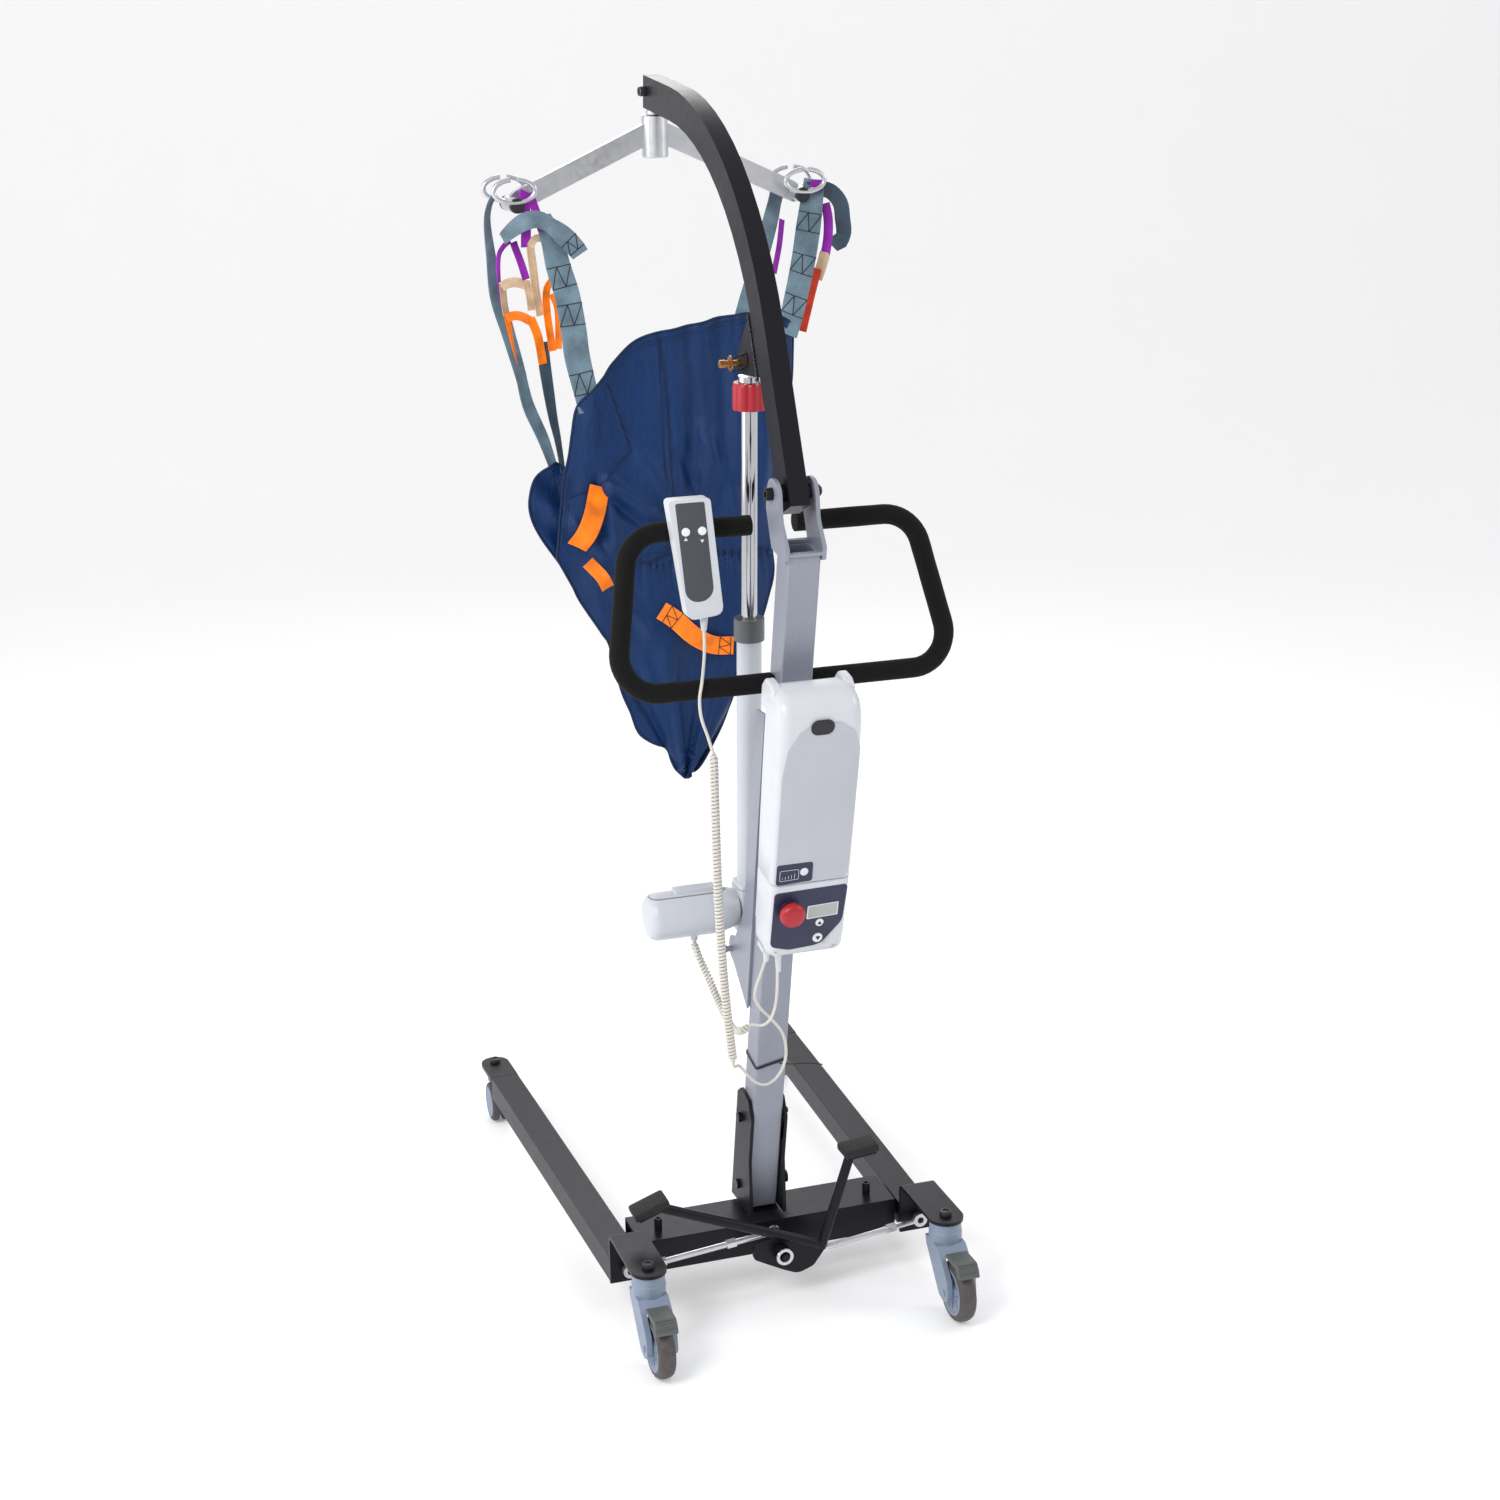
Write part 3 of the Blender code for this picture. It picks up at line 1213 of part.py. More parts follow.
def handset():
    rear = -0.372
    front = -0.3472
    outline = rounded([(-0.174, 1.351), (-0.146, 1.170), (-0.091, 1.176), (-0.109, 1.351)], [0.006, 0.012, 0.012, 0.006], 3)
    body = prism("handset_body", outline, rear, front - rear, "Y")
    bar_z = HANDLE_HIGH[2]
    over = block("handset_hook_top", (-0.156, front - 0.006, bar_z + 0.0158), (-0.128, -0.3075, bar_z + 0.0205), cutter=True)
    down = block("handset_hook_end", (-0.156, -0.3118, bar_z - 0.004), (-0.128, -0.3075, bar_z + 0.0200), cutter=True)
    join(body, over, down)
    relief = rod("handset_relief", (-0.1185, -0.3600, 1.1760), (-0.1190, -0.3610, 1.1505), 0.0062, 12, 0.0036, cutter=True)
    join(body, relief)
    buttons = (("handset_up_button", -0.1477), ("handset_down_button", -0.1228))
    for name, x in buttons:
        cut(body, rod(f"{name}_recess", (x, rear - 0.01, 1.3035), (x, rear + 0.0046, 1.3035), 0.0060, 16, cutter=True))
    finish(body, "white_plastic")
    for name, x in buttons:
        button = rod(name, (x, rear - 0.0022, 1.3035), (x, rear + 0.0020, 1.3035), 0.0056, 16)
        finish(button, "button")


def cords():
    lead_route = [
        (-0.1190, -0.3612, 1.1493),
        (-0.1198, -0.3640, 1.1380),
        (-0.1240, -0.3760, 1.1180),
        (-0.1330, -0.3980, 1.1020),
        (-0.1420, -0.4180, 1.0860),
        (-0.1470, -0.4220, 1.0640),
        (-0.1440, -0.4200, 1.0350),
        (-0.1340, -0.4180, 1.0050),
        (-0.1268, -0.4180, 0.9797),
    ]
    lead = pipe("handset_cord_lead", smooth_path(lead_route, 0.014), CORD_RADIUS, 2)
    finish(lead, "cord")
    coil_route = [
        (-0.1260, -0.4180, 0.9790),
        (-0.1245, -0.4160, 0.9000),
        (-0.1200, -0.4100, 0.7500),
        (-0.1095, -0.4000, 0.6000),
        (-0.0940, -0.3900, 0.4650),
    ]
    coil = pipe("handset_cord_coil", smooth_path(coil_route, 0.060), 0.0073, 3)
    finish(coil, "cord")
    tail_route = [
        (-0.0938, -0.3898, 0.4636),
        (-0.0915, -0.3870, 0.4570),
        (-0.0850, -0.3740, 0.4490),
        (-0.0760, -0.3590, 0.4430),
        (-0.0630, -0.3390, 0.4280),
        (-0.0480, -0.3340, 0.4070),
        (-0.0310, -0.3310, 0.3920),
        (-0.0140, -0.3310, 0.3910),
        (0.0020, -0.3350, 0.4080),
        (0.0100, -0.3410, 0.4400),
        (0.0030, -0.3490, 0.4790),
        (-0.0170, -0.3570, 0.5100),
        (-0.0390, -0.3660, 0.5360),
        (-0.0520, -0.3760, 0.5600),
        (-0.0540, -0.3880, 0.5850),
        (-0.0500, -0.3990, 0.6100),
        (-0.0478, -0.4140, 0.6366),
    ]
    tail = pipe("handset_cord_tail", smooth_path(tail_route, 0.014), CORD_RADIUS, 2)
    finish(tail, "cord")
    motor_route = [
        (-0.0950, -0.2006, 0.5970),
        (-0.0945, -0.2008, 0.5880),
        (-0.0880, -0.2060, 0.5660),
        (-0.0800, -0.2250, 0.5400),
        (-0.0750, -0.2560, 0.5140),
        (-0.0720, -0.2900, 0.4960),
        (-0.0710, -0.3220, 0.4900),
        (-0.0660, -0.3480, 0.4960),
        (-0.0560, -0.3600, 0.5090),
    ]
    motor_lead = pipe("motor_lead_coil", smooth_path(motor_route, 0.022), 0.0065, 3)
    finish(motor_lead, "cord")
    motor_tail_route = [
        (-0.0552, -0.3608, 0.5098),
        (-0.0490, -0.3660, 0.5120),
        (-0.0400, -0.3720, 0.5110),
        (-0.0290, -0.3780, 0.5210),
        (-0.0230, -0.3860, 0.5450),
        (-0.0230, -0.3960, 0.5750),
        (-0.0258, -0.4075, 0.6162),
    ]
    motor_tail = pipe("motor_lead_tail", smooth_path(motor_tail_route, 0.013), CORD_RADIUS, 2)
    finish(motor_tail, "cord")


# ---------------------------------------------------------------- assembly


def build():
    mast = empty_at("mast_frame", MAST_FOOT, MAST_LEAN)
    cross_beam()
    mast_bracket(mast)
    mast_bolts(mast)
    mast_tube(mast)
    mast_clevis(mast)
    boom_pivot_bolt()
    handle()
    for side in (-1, 1):
        leg(side)
        rear_caster(side)
        front_caster(side)
        tie_rod(side)
    pedal()
    boom()
    actuator()
    actuator_mount(mast)
    control_box(mast)
    swivel = hanger()
    sling(swivel)
    handset()
    cords()


build()
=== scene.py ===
"""The looks of a mobile patient lift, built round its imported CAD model. Metres, +Z up."""

import json
import math

import bmesh
import bpy
from mathutils import Matrix, Vector, geometry, noise


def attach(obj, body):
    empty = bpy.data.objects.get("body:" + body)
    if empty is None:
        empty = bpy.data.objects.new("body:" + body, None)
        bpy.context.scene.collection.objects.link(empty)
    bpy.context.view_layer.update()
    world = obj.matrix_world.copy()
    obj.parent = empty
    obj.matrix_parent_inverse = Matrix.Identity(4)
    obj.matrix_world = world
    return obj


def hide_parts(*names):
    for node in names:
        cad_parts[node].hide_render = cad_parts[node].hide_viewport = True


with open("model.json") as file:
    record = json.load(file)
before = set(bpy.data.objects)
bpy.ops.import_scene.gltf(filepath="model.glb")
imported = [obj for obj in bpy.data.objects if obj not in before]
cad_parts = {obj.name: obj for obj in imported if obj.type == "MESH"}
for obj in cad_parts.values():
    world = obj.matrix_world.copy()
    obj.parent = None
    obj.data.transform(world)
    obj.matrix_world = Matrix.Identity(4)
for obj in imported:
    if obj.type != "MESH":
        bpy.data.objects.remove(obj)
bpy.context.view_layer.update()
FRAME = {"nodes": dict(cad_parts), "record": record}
NODES = FRAME["nodes"]

# Driving dimensions, the same as in the CAD model.
MAST = Matrix.Translation((0, -0.1917, 0)) @ Matrix.Rotation(math.radians(11.32), 4, "X")
BOX_FACE = -0.141
BOX_SEAM = 0.8285
BOX_BOTTOM = 0.7
BOX_TOP = 1.135
HANDSET_REAR = -0.372
GRIP_RADIUS = 0.0152
HANDLE_LOW = (0.2664, -0.3987, 1.0724)
HANDLE_HIGH = (0.223, -0.3284, 1.2965)
HANDLE_BEND = 0.055
CORD_RADIUS = 0.0024
CORD_LENGTH_STEP = 0.007
COIL_PITCH = 0.0059
COIL_POINTS = 14
TIP_Y = 0.238
HOOK_X = 0.247
HOOK_Z = 1.752
REAR_WHEEL = (0.2505, -0.483, 0.05)
FRONT_WHEEL = (0.2806, 0.494, 0.0375)
REAR_STEM = (0.2505, -0.428, 0.158)
FRONT_STEM = (0.2806, 0.506, 0.112)
MOTOR_RADIUS = 0.0385
KNOB_CENTRE = Vector((0.0, -0.229, 1.472))
ACTUATOR_AXIS = Vector((0.0, -0.03997, 0.9992))

# Sizes of the cloth, the stitching and the stage, chosen for the look.
STAGE_DROP = 0.0006
STITCH_RADIUS = 0.00055
HEM_RADIUS = 0.0024
CLOTH_SPACING = 0.0052
CLOTH_THICKNESS = 0.0022
STRAP_STEP = 0.006

# Turns a plate drawn in (y, z) to stand across X.
SIDEWAYS = Matrix(((0, 0, 1, 0), (1, 0, 0, 0), (0, 1, 0, 0), (0, 0, 0, 1)))

PIECES = bpy.data.collections.new("pieces")
bpy.context.scene.collection.children.link(PIECES)


def srgb(red, green, blue):
    """A colour given as 0 to 255 screen values, as linear light."""
    found = []
    for value in (red, green, blue):
        share = value / 255
        found.append(share / 12.92 if share <= 0.04045 else ((share + 0.055) / 1.055) ** 2.4)
    return (*found, 1.0)


# ---------------------------------------------------------------- materials


class Finish:
    """A procedural material: a Principled BSDF fed by noise in the object's own space."""

    def __init__(self, name, colour, roughness, metallic=0.0):
        self.material = bpy.data.materials.new(name)
        self.material.use_nodes = True
        self.tree = self.material.node_tree
        self.bsdf = self.tree.nodes["Principled BSDF"]
        self.place = self.node("ShaderNodeTexCoord").outputs["Object"]
        self.colour = self.node("ShaderNodeRGB").outputs[0]
        self.colour.default_value = colour
        self.bsdf.inputs["Roughness"].default_value = roughness
        self.bsdf.inputs["Metallic"].default_value = metallic
        self.height = None

    def node(self, kind, **settings):
        made = self.tree.nodes.new(kind)
        for key, value in settings.items():
            setattr(made, key, value)
        return made

    def put(self, socket, value):
        if isinstance(value, bpy.types.NodeSocket):
            self.tree.links.new(value, socket)
        else:
            socket.default_value = value

    def math(self, operation, first, second=0.0, third=0.0):
        made = self.node("ShaderNodeMath", operation=operation)
        for socket, value in zip(made.inputs, (first, second, third)):
            self.put(socket, value)
        return made.outputs[0]

    def stretched(self, scale):
        made = self.node("ShaderNodeVectorMath", operation="MULTIPLY")
        self.put(made.inputs[0], self.place)
        made.inputs[1].default_value = scale
        return made.outputs[0]

    def noise(self, scale, detail=3.0, stretch=(1, 1, 1)):
        made = self.node("ShaderNodeTexNoise")
        self.put(made.inputs["Vector"], self.stretched(stretch))
        made.inputs["Scale"].default_value = scale
        made.inputs["Detail"].default_value = detail
        return made.outputs["Fac"]

    def cells(self, scale):
        made = self.node("ShaderNodeTexVoronoi")
        self.put(made.inputs["Vector"], self.place)
        made.inputs["Scale"].default_value = scale
        return made.outputs["Distance"]

    def wave(self, direction, period, source=None):
        """A sine of this period, in metres, across X, Y, Z or along a diagonal."""
        made = self.node("ShaderNodeTexWave", bands_direction=direction)
        self.put(made.inputs["Vector"], source or self.place)
        made.inputs["Scale"].default_value = math.pi / (10 * period)
        return made.outputs["Fac"]

    def span(self, value, low, high, start=0.3, end=0.7):
        made = self.node("ShaderNodeMapRange")
        self.put(made.inputs["Value"], value)
        for key, number in zip(("From Min", "From Max", "To Min", "To Max"), (start, end, low, high)):
            made.inputs[key].default_value = number
        return made.outputs["Result"]

    def mix(self, share, first, second, blend="MIX"):
        made = self.node("ShaderNodeMix", data_type="RGBA", blend_type=blend)
        self.put(made.inputs["Factor"], share)
        self.put(made.inputs[6], first)
        self.put(made.inputs[7], second)
        return made.outputs[2]

    def shade(self, value, low, high):
        """Multiplies the colour by a grey between low and high, as value goes from 0.3 to 0.7."""
        grey = self.node("ShaderNodeCombineColor")
        level = self.span(value, low, high)
        for socket in grey.inputs:
            self.put(socket, level)
        self.colour = self.mix(1.0, self.colour, grey.outputs[0], "MULTIPLY")

    def tint(self, mask, colour):
        self.colour = self.mix(mask, self.colour, colour)

    def rough(self, value, low, high):
        self.put(self.bsdf.inputs["Roughness"], self.span(value, low, high))

    def bump(self, value, depth):
        """Adds a height map, with its full range depth metres high."""
        height = self.math("MULTIPLY", value, depth)
        self.height = height if self.height is None else self.math("ADD", self.height, height)

    def axis_distance(self, centre, axis):
        """Distance of each point from a line along X, Y or Z through centre."""
        moved = self.node("ShaderNodeVectorMath", operation="SUBTRACT")
        self.put(moved.inputs[0], self.place)
        moved.inputs[1].default_value = centre
        flat = self.node("ShaderNodeVectorMath", operation="MULTIPLY")
        self.put(flat.inputs[0], moved.outputs[0])
        flat.inputs[1].default_value = [0.0 if name == axis else 1.0 for name in "XYZ"]
        length = self.node("ShaderNodeVectorMath", operation="LENGTH")
        self.put(length.inputs[0], flat.outputs[0])
        return length.outputs["Value"]

    def coordinate(self, axis):
        made = self.node("ShaderNodeSeparateXYZ")
        self.put(made.inputs[0], self.place)
        return made.outputs["XYZ".index(axis)]

    def done(self):
        self.put(self.bsdf.inputs["Base Color"], self.colour)
        if self.height is not None:
            made = self.node("ShaderNodeBump")
            made.inputs["Distance"].default_value = 1.0
            made.inputs["Strength"].default_value = 1.0
            self.put(made.inputs["Height"], self.height)
            self.put(self.bsdf.inputs["Normal"], made.outputs[0])
        return self.material


def powder_coat(name, colour, roughness, metallic=0.0, variation=0.12):
    f = Finish(name, colour, roughness, metallic)
    f.shade(f.noise(9.0, 5.0), 1.0 - variation, 1.0 + variation)
    f.shade(f.noise(160.0), 0.97, 1.03)
    f.rough(f.noise(60.0, 4.0), roughness - 0.02, roughness + 0.03)
    f.bump(f.noise(420.0, 2.0), 0.00006)
    f.bsdf.inputs["Specular IOR Level"].default_value = 0.22
    return f.done()


def plastic(name, colour, roughness, grain=0.00003, variation=0.03):
    f = Finish(name, colour, roughness)
    f.shade(f.noise(14.0, 4.0), 1.0 - variation, 1.0 + variation)
    f.rough(f.noise(45.0, 4.0), roughness - 0.04, roughness + 0.06)
    f.bump(f.noise(900.0, 2.0), grain)
    return f.done()


def metal(name, colour, roughness, stretch=(1, 1, 1), variation=0.06):
    f = Finish(name, colour, roughness, 1.0)
    f.shade(f.noise(30.0, 5.0), 1.0 - variation, 1.0 + variation)
    f.rough(f.noise(120.0, 3.0, stretch), roughness - 0.05, roughness + 0.07)
    f.bump(f.noise(500.0, 2.0, stretch), 0.00002)
    return f.done()


def foam(name, colour):
    f = Finish(name, colour, 0.92)
    f.shade(f.noise(700.0, 2.0), 0.75, 1.3)
    f.bump(f.cells(900.0), 0.00025)
    f.bump(f.noise(30.0, 3.0), 0.0006)
    f.bsdf.inputs["Sheen Weight"].default_value = 0.03
    f.bsdf.inputs["Specular IOR Level"].default_value = 0.15
    return f.done()


def tread(name, centre, hub_radius, tyre_colour, hub_colour):
    """Brown-grey tread outside hub_radius of the wheel's axle line, moulded grey inside it."""
    f = Finish(name, tyre_colour, 0.6)
    f.shade(f.noise(70.0, 5.0), 0.8, 1.2)
    reach = f.axis_distance(centre, "X")
    f.tint(f.math("LESS_THAN", reach, hub_radius), hub_colour)
    f.rough(f.noise(110.0, 4.0), 0.5, 0.72)
    f.bump(f.noise(500.0, 2.0), 0.00008)
    return f.done()


def cloth(name, colour, period=0.0024, depth=0.0003, sheen=0.05, roughness=0.38):
    """A plain weave: two crossed sets of ribs, with lighter and darker threads."""
    f = Finish(name, colour, roughness)
    ribs = f.math("MULTIPLY", f.wave("X", period), f.wave("Z", period))
    f.shade(ribs, 0.86, 1.1)
    f.shade(f.noise(7.0, 4.0, (1.0, 1.0, 0.35)), 0.82, 1.2)
    f.shade(f.noise(240.0, 2.0, (1.0, 1.0, 0.15)), 0.9, 1.12)
    f.bump(ribs, depth)
    f.bump(f.noise(26.0, 3.0, (1.0, 1.0, 0.45)), 0.0045)
    f.bsdf.inputs["Sheen Weight"].default_value = sheen
    f.bsdf.inputs["Specular IOR Level"].default_value = 0.2
    f.bsdf.inputs["Sheen Roughness"].default_value = 0.35
    return f.done()


def webbing(name, colour, depth=0.0003, roughness=0.5):
    """Strap tape: fine ribs across it, read from the strip's own lengthwise coordinate."""
    f = Finish(name, colour, roughness)
    along = f.node("ShaderNodeUVMap", uv_map="strap").outputs[0]
    ribs = f.wave("Y", 0.0019, along)
    cords = f.wave("X", 0.0042, along)
    f.shade(ribs, 0.88, 1.1)
    f.shade(cords, 0.93, 1.05)
    f.shade(f.noise(30.0, 3.0), 0.72, 1.32)
    f.bump(ribs, depth)
    f.bsdf.inputs["Sheen Weight"].default_value = 0.06
    f.bsdf.inputs["Specular IOR Level"].default_value = 0.3
    return f.done()


def actuator_shell():
    """White tube and motor shell, with a dark grey collar round the tube's top."""
    f = Finish("actuator_shell", srgb(194, 197, 204), 0.32)
    f.shade(f.noise(12.0, 4.0), 0.97, 1.03)
    height = f.coordinate("Z")
    f.tint(f.math("GREATER_THAN", height, 1.0895), srgb(88, 91, 95))
    seam = f.math("LESS_THAN", f.math("ABSOLUTE", f.math("SUBTRACT", height, 0.6795)), 0.0006)
    f.tint(seam, srgb(120, 122, 128))
    f.rough(f.noise(40.0, 4.0), 0.28, 0.42)
    f.bump(f.noise(700.0, 2.0), 0.00003)
    return f.done()


def pad_rubber():
    """Black rubber with a moulded cross-hatch of raised squares."""
    f = Finish("pad_rubber", srgb(26, 26, 29), 0.75)
    squares = f.math("MULTIPLY", f.wave("X", 0.0056), f.wave("Y", 0.0056))
    f.shade(squares, 0.7, 1.2)
    f.shade(f.noise(90.0, 4.0), 0.85, 1.15)
    f.bump(squares, 0.0009)
    return f.done()


def floor_finish():
    f = Finish("studio_floor", (0.86, 0.86, 0.87, 1.0), 0.75)
    f.shade(f.noise(2.0, 2.0), 0.995, 1.005)
    f.bsdf.inputs["Emission Color"].default_value = (1.0, 1.0, 1.0, 1.0)
    f.bsdf.inputs["Emission Strength"].default_value = 0.2
    return f.done()


NAVY = srgb(15, 48, 94)
FINISHES = {
    "dark_paint": powder_coat("dark_paint", srgb(17, 17, 25), 0.38, 0.0, 0.04),
    "silver_paint": powder_coat("silver_paint", srgb(146, 150, 162), 0.36, 0.3, 0.03),
    "white_plastic": plastic("white_plastic", srgb(203, 206, 212), 0.32),
    "foam": foam("foam", srgb(20, 19, 20)), "rubber": pad_rubber(),
    "chrome": metal("chrome", (0.56, 0.57, 0.6, 1.0), 0.1, (1, 1, 0.02), 0.02),
    "zinc": metal("zinc", (0.62, 0.63, 0.65, 1.0), 0.3),
    "brass_bolt": metal("brass_bolt", srgb(196, 146, 84), 0.32),
    "red_plastic": plastic("red_plastic", srgb(168, 22, 36), 0.36),
    "caster_grey": plastic("caster_grey", srgb(126, 139, 160), 0.42, 0.00006, 0.06),
    "tyre": plastic("tyre", srgb(96, 92, 94), 0.62, 0.00008, 0.12),
    "brake_green": plastic("brake_green", srgb(84, 89, 88), 0.55, 0.00008, 0.08),
    "alloy": metal("alloy", (0.6, 0.61, 0.64, 1.0), 0.34),
    "black_steel": metal("black_steel", (0.035, 0.035, 0.04, 1.0), 0.36),
    "navy_fabric": cloth("navy_fabric", NAVY), "webbing": webbing("webbing", srgb(104, 126, 140)),
    "cord": plastic("cord", srgb(206, 203, 195), 0.42, 0.00004, 0.04),
    "button": plastic("button", srgb(232, 233, 235), 0.35),
}
ACTUATOR_SHELL = actuator_shell()
HEM = cloth("sling_hem", srgb(18, 38, 74), 0.0018)
ORANGE = webbing("orange_webbing", srgb(255, 128, 12))
PURPLE = webbing("purple_webbing", srgb(146, 30, 168))
BEIGE = webbing("beige_webbing", srgb(208, 178, 146))
RED = webbing("red_webbing", srgb(214, 62, 34))
DARK_TAPE = webbing("dark_webbing", srgb(62, 80, 94))
THREAD = plastic("black_thread", srgb(16, 16, 22), 0.7)
NAVY_THREAD = plastic("navy_thread", srgb(14, 30, 62), 0.7)
FACE_GREY = plastic("face_grey", srgb(180, 183, 191), 0.42)
PANEL_NAVY = plastic("panel_navy", srgb(34, 38, 68), 0.4)
INLAY_GREY = plastic("inlay_grey", srgb(66, 70, 75), 0.5)
SCREEN = plastic("screen", srgb(168, 171, 168), 0.2)
BLACK_PLASTIC = plastic("black_plastic", srgb(24, 24, 27), 0.42)
WHITE_PRINT = plastic("white_print", srgb(214, 220, 228), 0.5)


# ---------------------------------------------------------------- geometry helpers


def shown(name, mesh, material, degrees=35.0):
    mesh.shade_smooth()
    mesh.set_sharp_from_angle(angle=math.radians(degrees))
    obj = bpy.data.objects.new(name, mesh)
    mesh.materials.append(material)
    PIECES.objects.link(obj)
    return obj


def from_bmesh(name, shape, material, matrix=None, degrees=35.0):
    bmesh.ops.recalc_face_normals(shape, faces=shape.faces)
    if matrix is not None:
        bmesh.ops.transform(shape, matrix=matrix, verts=shape.verts)
    mesh = bpy.data.meshes.new(name)
    shape.to_mesh(mesh)
    shape.free()
    return shown(name, mesh, material, degrees)


def modify(obj, kind, **settings):
    added = obj.modifiers.new(kind.lower(), kind)
    for key, value in settings.items():
        setattr(added, key, value)
    return added


def round_edges(obj, width, segments=3, degrees=30.0):
    modify(
        obj, "BEVEL", width=width, segments=segments, limit_method="ANGLE",
        angle_limit=math.radians(degrees),
    )
    return obj


def smooth_group():
    """Geometry nodes that shade a mesh smooth except at edges sharper than 32 degrees."""
    group = bpy.data.node_groups.new("smooth_by_angle", "GeometryNodeTree")
    group.interface.new_socket("Geometry", in_out="INPUT", socket_type="NodeSocketGeometry")
    group.interface.new_socket("Geometry", in_out="OUTPUT", socket_type="NodeSocketGeometry")
    start = group.nodes.new("NodeGroupInput")
    end = group.nodes.new("NodeGroupOutput")
    faces = group.nodes.new("GeometryNodeSetShadeSmooth")
    faces.domain = "FACE"
    edges = group.nodes.new("GeometryNodeSetShadeSmooth")
    edges.domain = "EDGE"
    angle = group.nodes.new("GeometryNodeInputMeshEdgeAngle")
    sharp = group.nodes.new("FunctionNodeCompare")
    sharp.operation = "LESS_EQUAL"
    sharp.inputs["B"].default_value = math.radians(32)
    link = group.links.new
    link(start.outputs[0], faces.inputs["Geometry"])
    link(faces.outputs[0], edges.inputs["Geometry"])
    link(angle.outputs["Unsigned Angle"], sharp.inputs["A"])
    link(sharp.outputs[0], edges.inputs["Shade Smooth"])
    link(edges.outputs[0], end.inputs[0])
    return group


SMOOTH = smooth_group()


def apply_modifiers(obj):
    graph = bpy.context.evaluated_depsgraph_get()
    mesh = bpy.data.meshes.new_from_object(obj.evaluated_get(graph))
    obj.modifiers.clear()
    obj.data = mesh
    return obj


def ride(obj, body, slot, *nodes):
    """Puts a piece on its body and lets it stand for CAD nodes, which it hides; slot is not used."""
    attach(obj, body)
    if nodes:
        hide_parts(*nodes)
    return obj


def to_axis(centre, axis):
    turn = Vector(axis).to_track_quat("Z", "Y").to_matrix().to_4x4()
    return Matrix.Translation(centre) @ turn


def lathe(name, profile, centre, axis, material, steps=48):
    """A turned piece: profile is (radius, height) from one end to the other."""
    shape = bmesh.new()
    rings = []
    for radius, height in profile:
        if radius < 1e-6:
            rings.append([shape.verts.new((0, 0, height))])
            continue
        ring = []
        for i in range(steps):
            angle = 2 * math.pi * i / steps
            ring.append(shape.verts.new((radius * math.cos(angle), radius * math.sin(angle), height)))
        rings.append(ring)
    for first, second in zip(rings, rings[1:]):
        for i in range(steps):
            j = (i + 1) % steps
            corners = [
                first[i % len(first)], first[j % len(first)], second[j % len(second)],
                second[i % len(second)],
            ]
            unique = list(dict.fromkeys(corners))
            if len(unique) > 2:
                shape.faces.new(unique)
    return from_bmesh(name, shape, material, to_axis(centre, axis))


def plate(name, outline, low, high, material, matrix=None, edge=0.0, degrees=35.0):
    """A flat piece in local XY, from low to high along Z, with its upper edge rounded by edge."""
    shape = bmesh.new()
    face = shape.faces.new([shape.verts.new((x, y, low)) for x, y in outline])
    grown = bmesh.ops.extrude_face_region(shape, geom=[face])["geom"]
    top = [v for v in grown if isinstance(v, bmesh.types.BMVert)]
    bmesh.ops.translate(shape, verts=top, vec=(0, 0, high - low))
    if edge:
        rim = [e for e in shape.edges if all(abs(v.co.z - high) < 1e-7 for v in e.verts)]
        bmesh.ops.bevel(shape, geom=rim, offset=edge, segments=3, profile=0.6, affect="EDGES")
    return from_bmesh(name, shape, material, matrix, degrees)


def rounded(corners, radius, steps=6):
    """The corners as a closed outline with arcs, in place of each corner. radius may be a list."""
    radii = radius if isinstance(radius, (list, tuple)) else [radius] * len(corners)
    found = []
    count = len(corners)
    for k in range(count):
        before = Vector(corners[k - 1])
        here = Vector(corners[k])
        after = Vector(corners[(k + 1) % count])
        found += arc_corner(before, here, after, radii[k], steps)
    return [(p.x, p.y) for p in found]


def arc_corner(before, here, after, radius, steps):
    first = (before - here).normalized()
    second = (after - here).normalized()
    half = first.angle(second) / 2
    if radius < 1e-6 or half > math.pi / 2 - 0.01:
        return [here]
    back = radius / math.tan(half)
    middle = here + (first + second).normalized() * (radius / math.sin(half))
    start = here + first * back - middle
    end = here + second * back - middle
    found = []
    for i in range(steps + 1):
        t = i / steps
        way = start * (1 - t) + end * t
        found.append(middle + way.normalized() * radius)
    return found


def filleted(corners, radius, steps=10):
    """An open route whose inner corners are arcs."""
    corners = [Vector(c) for c in corners]
    found = [corners[0]]
    for before, here, after in zip(corners, corners[1:], corners[2:]):
        found += arc_corner(before, here, after, radius, steps)
    return found + [corners[-1]]


def smooth_path(route, spacing):
    """Points at even spacing on the smooth curve through the route's points."""
    route = [Vector(point) for point in route]
    ends = [2 * route[0] - route[1]] + route + [2 * route[-1] - route[-2]]
    fine = [route[0]]
    for a, b, c, d in zip(ends, ends[1:], ends[2:], ends[3:]):
        for i in range(1, 21):
            t = i / 20
            bend = (2 * a - 5 * b + 4 * c - d) * t**2 + (3 * b - a - 3 * c + d) * t**3
            fine.append(0.5 * (2 * b + (c - a) * t + bend))
    return even_points(fine, spacing)


def lengths_along(points):
    """The distance along the points, from the first one to each."""
    lengths = [0.0]
    for first, second in zip(points, points[1:]):
        lengths.append(lengths[-1] + (second - first).length)
    return lengths


def even_points(fine, spacing):
    lengths = lengths_along(fine)
    count = max(2, round(lengths[-1] / spacing))
    points = []
    k = 0
    for i in range(count + 1):
        wanted = lengths[-1] * i / count
        while k < len(lengths) - 2 and lengths[k + 1] < wanted:
            k += 1
        share = (wanted - lengths[k]) / (lengths[k + 1] - lengths[k])
        points.append(fine[k].lerp(fine[k + 1], share))
    return points


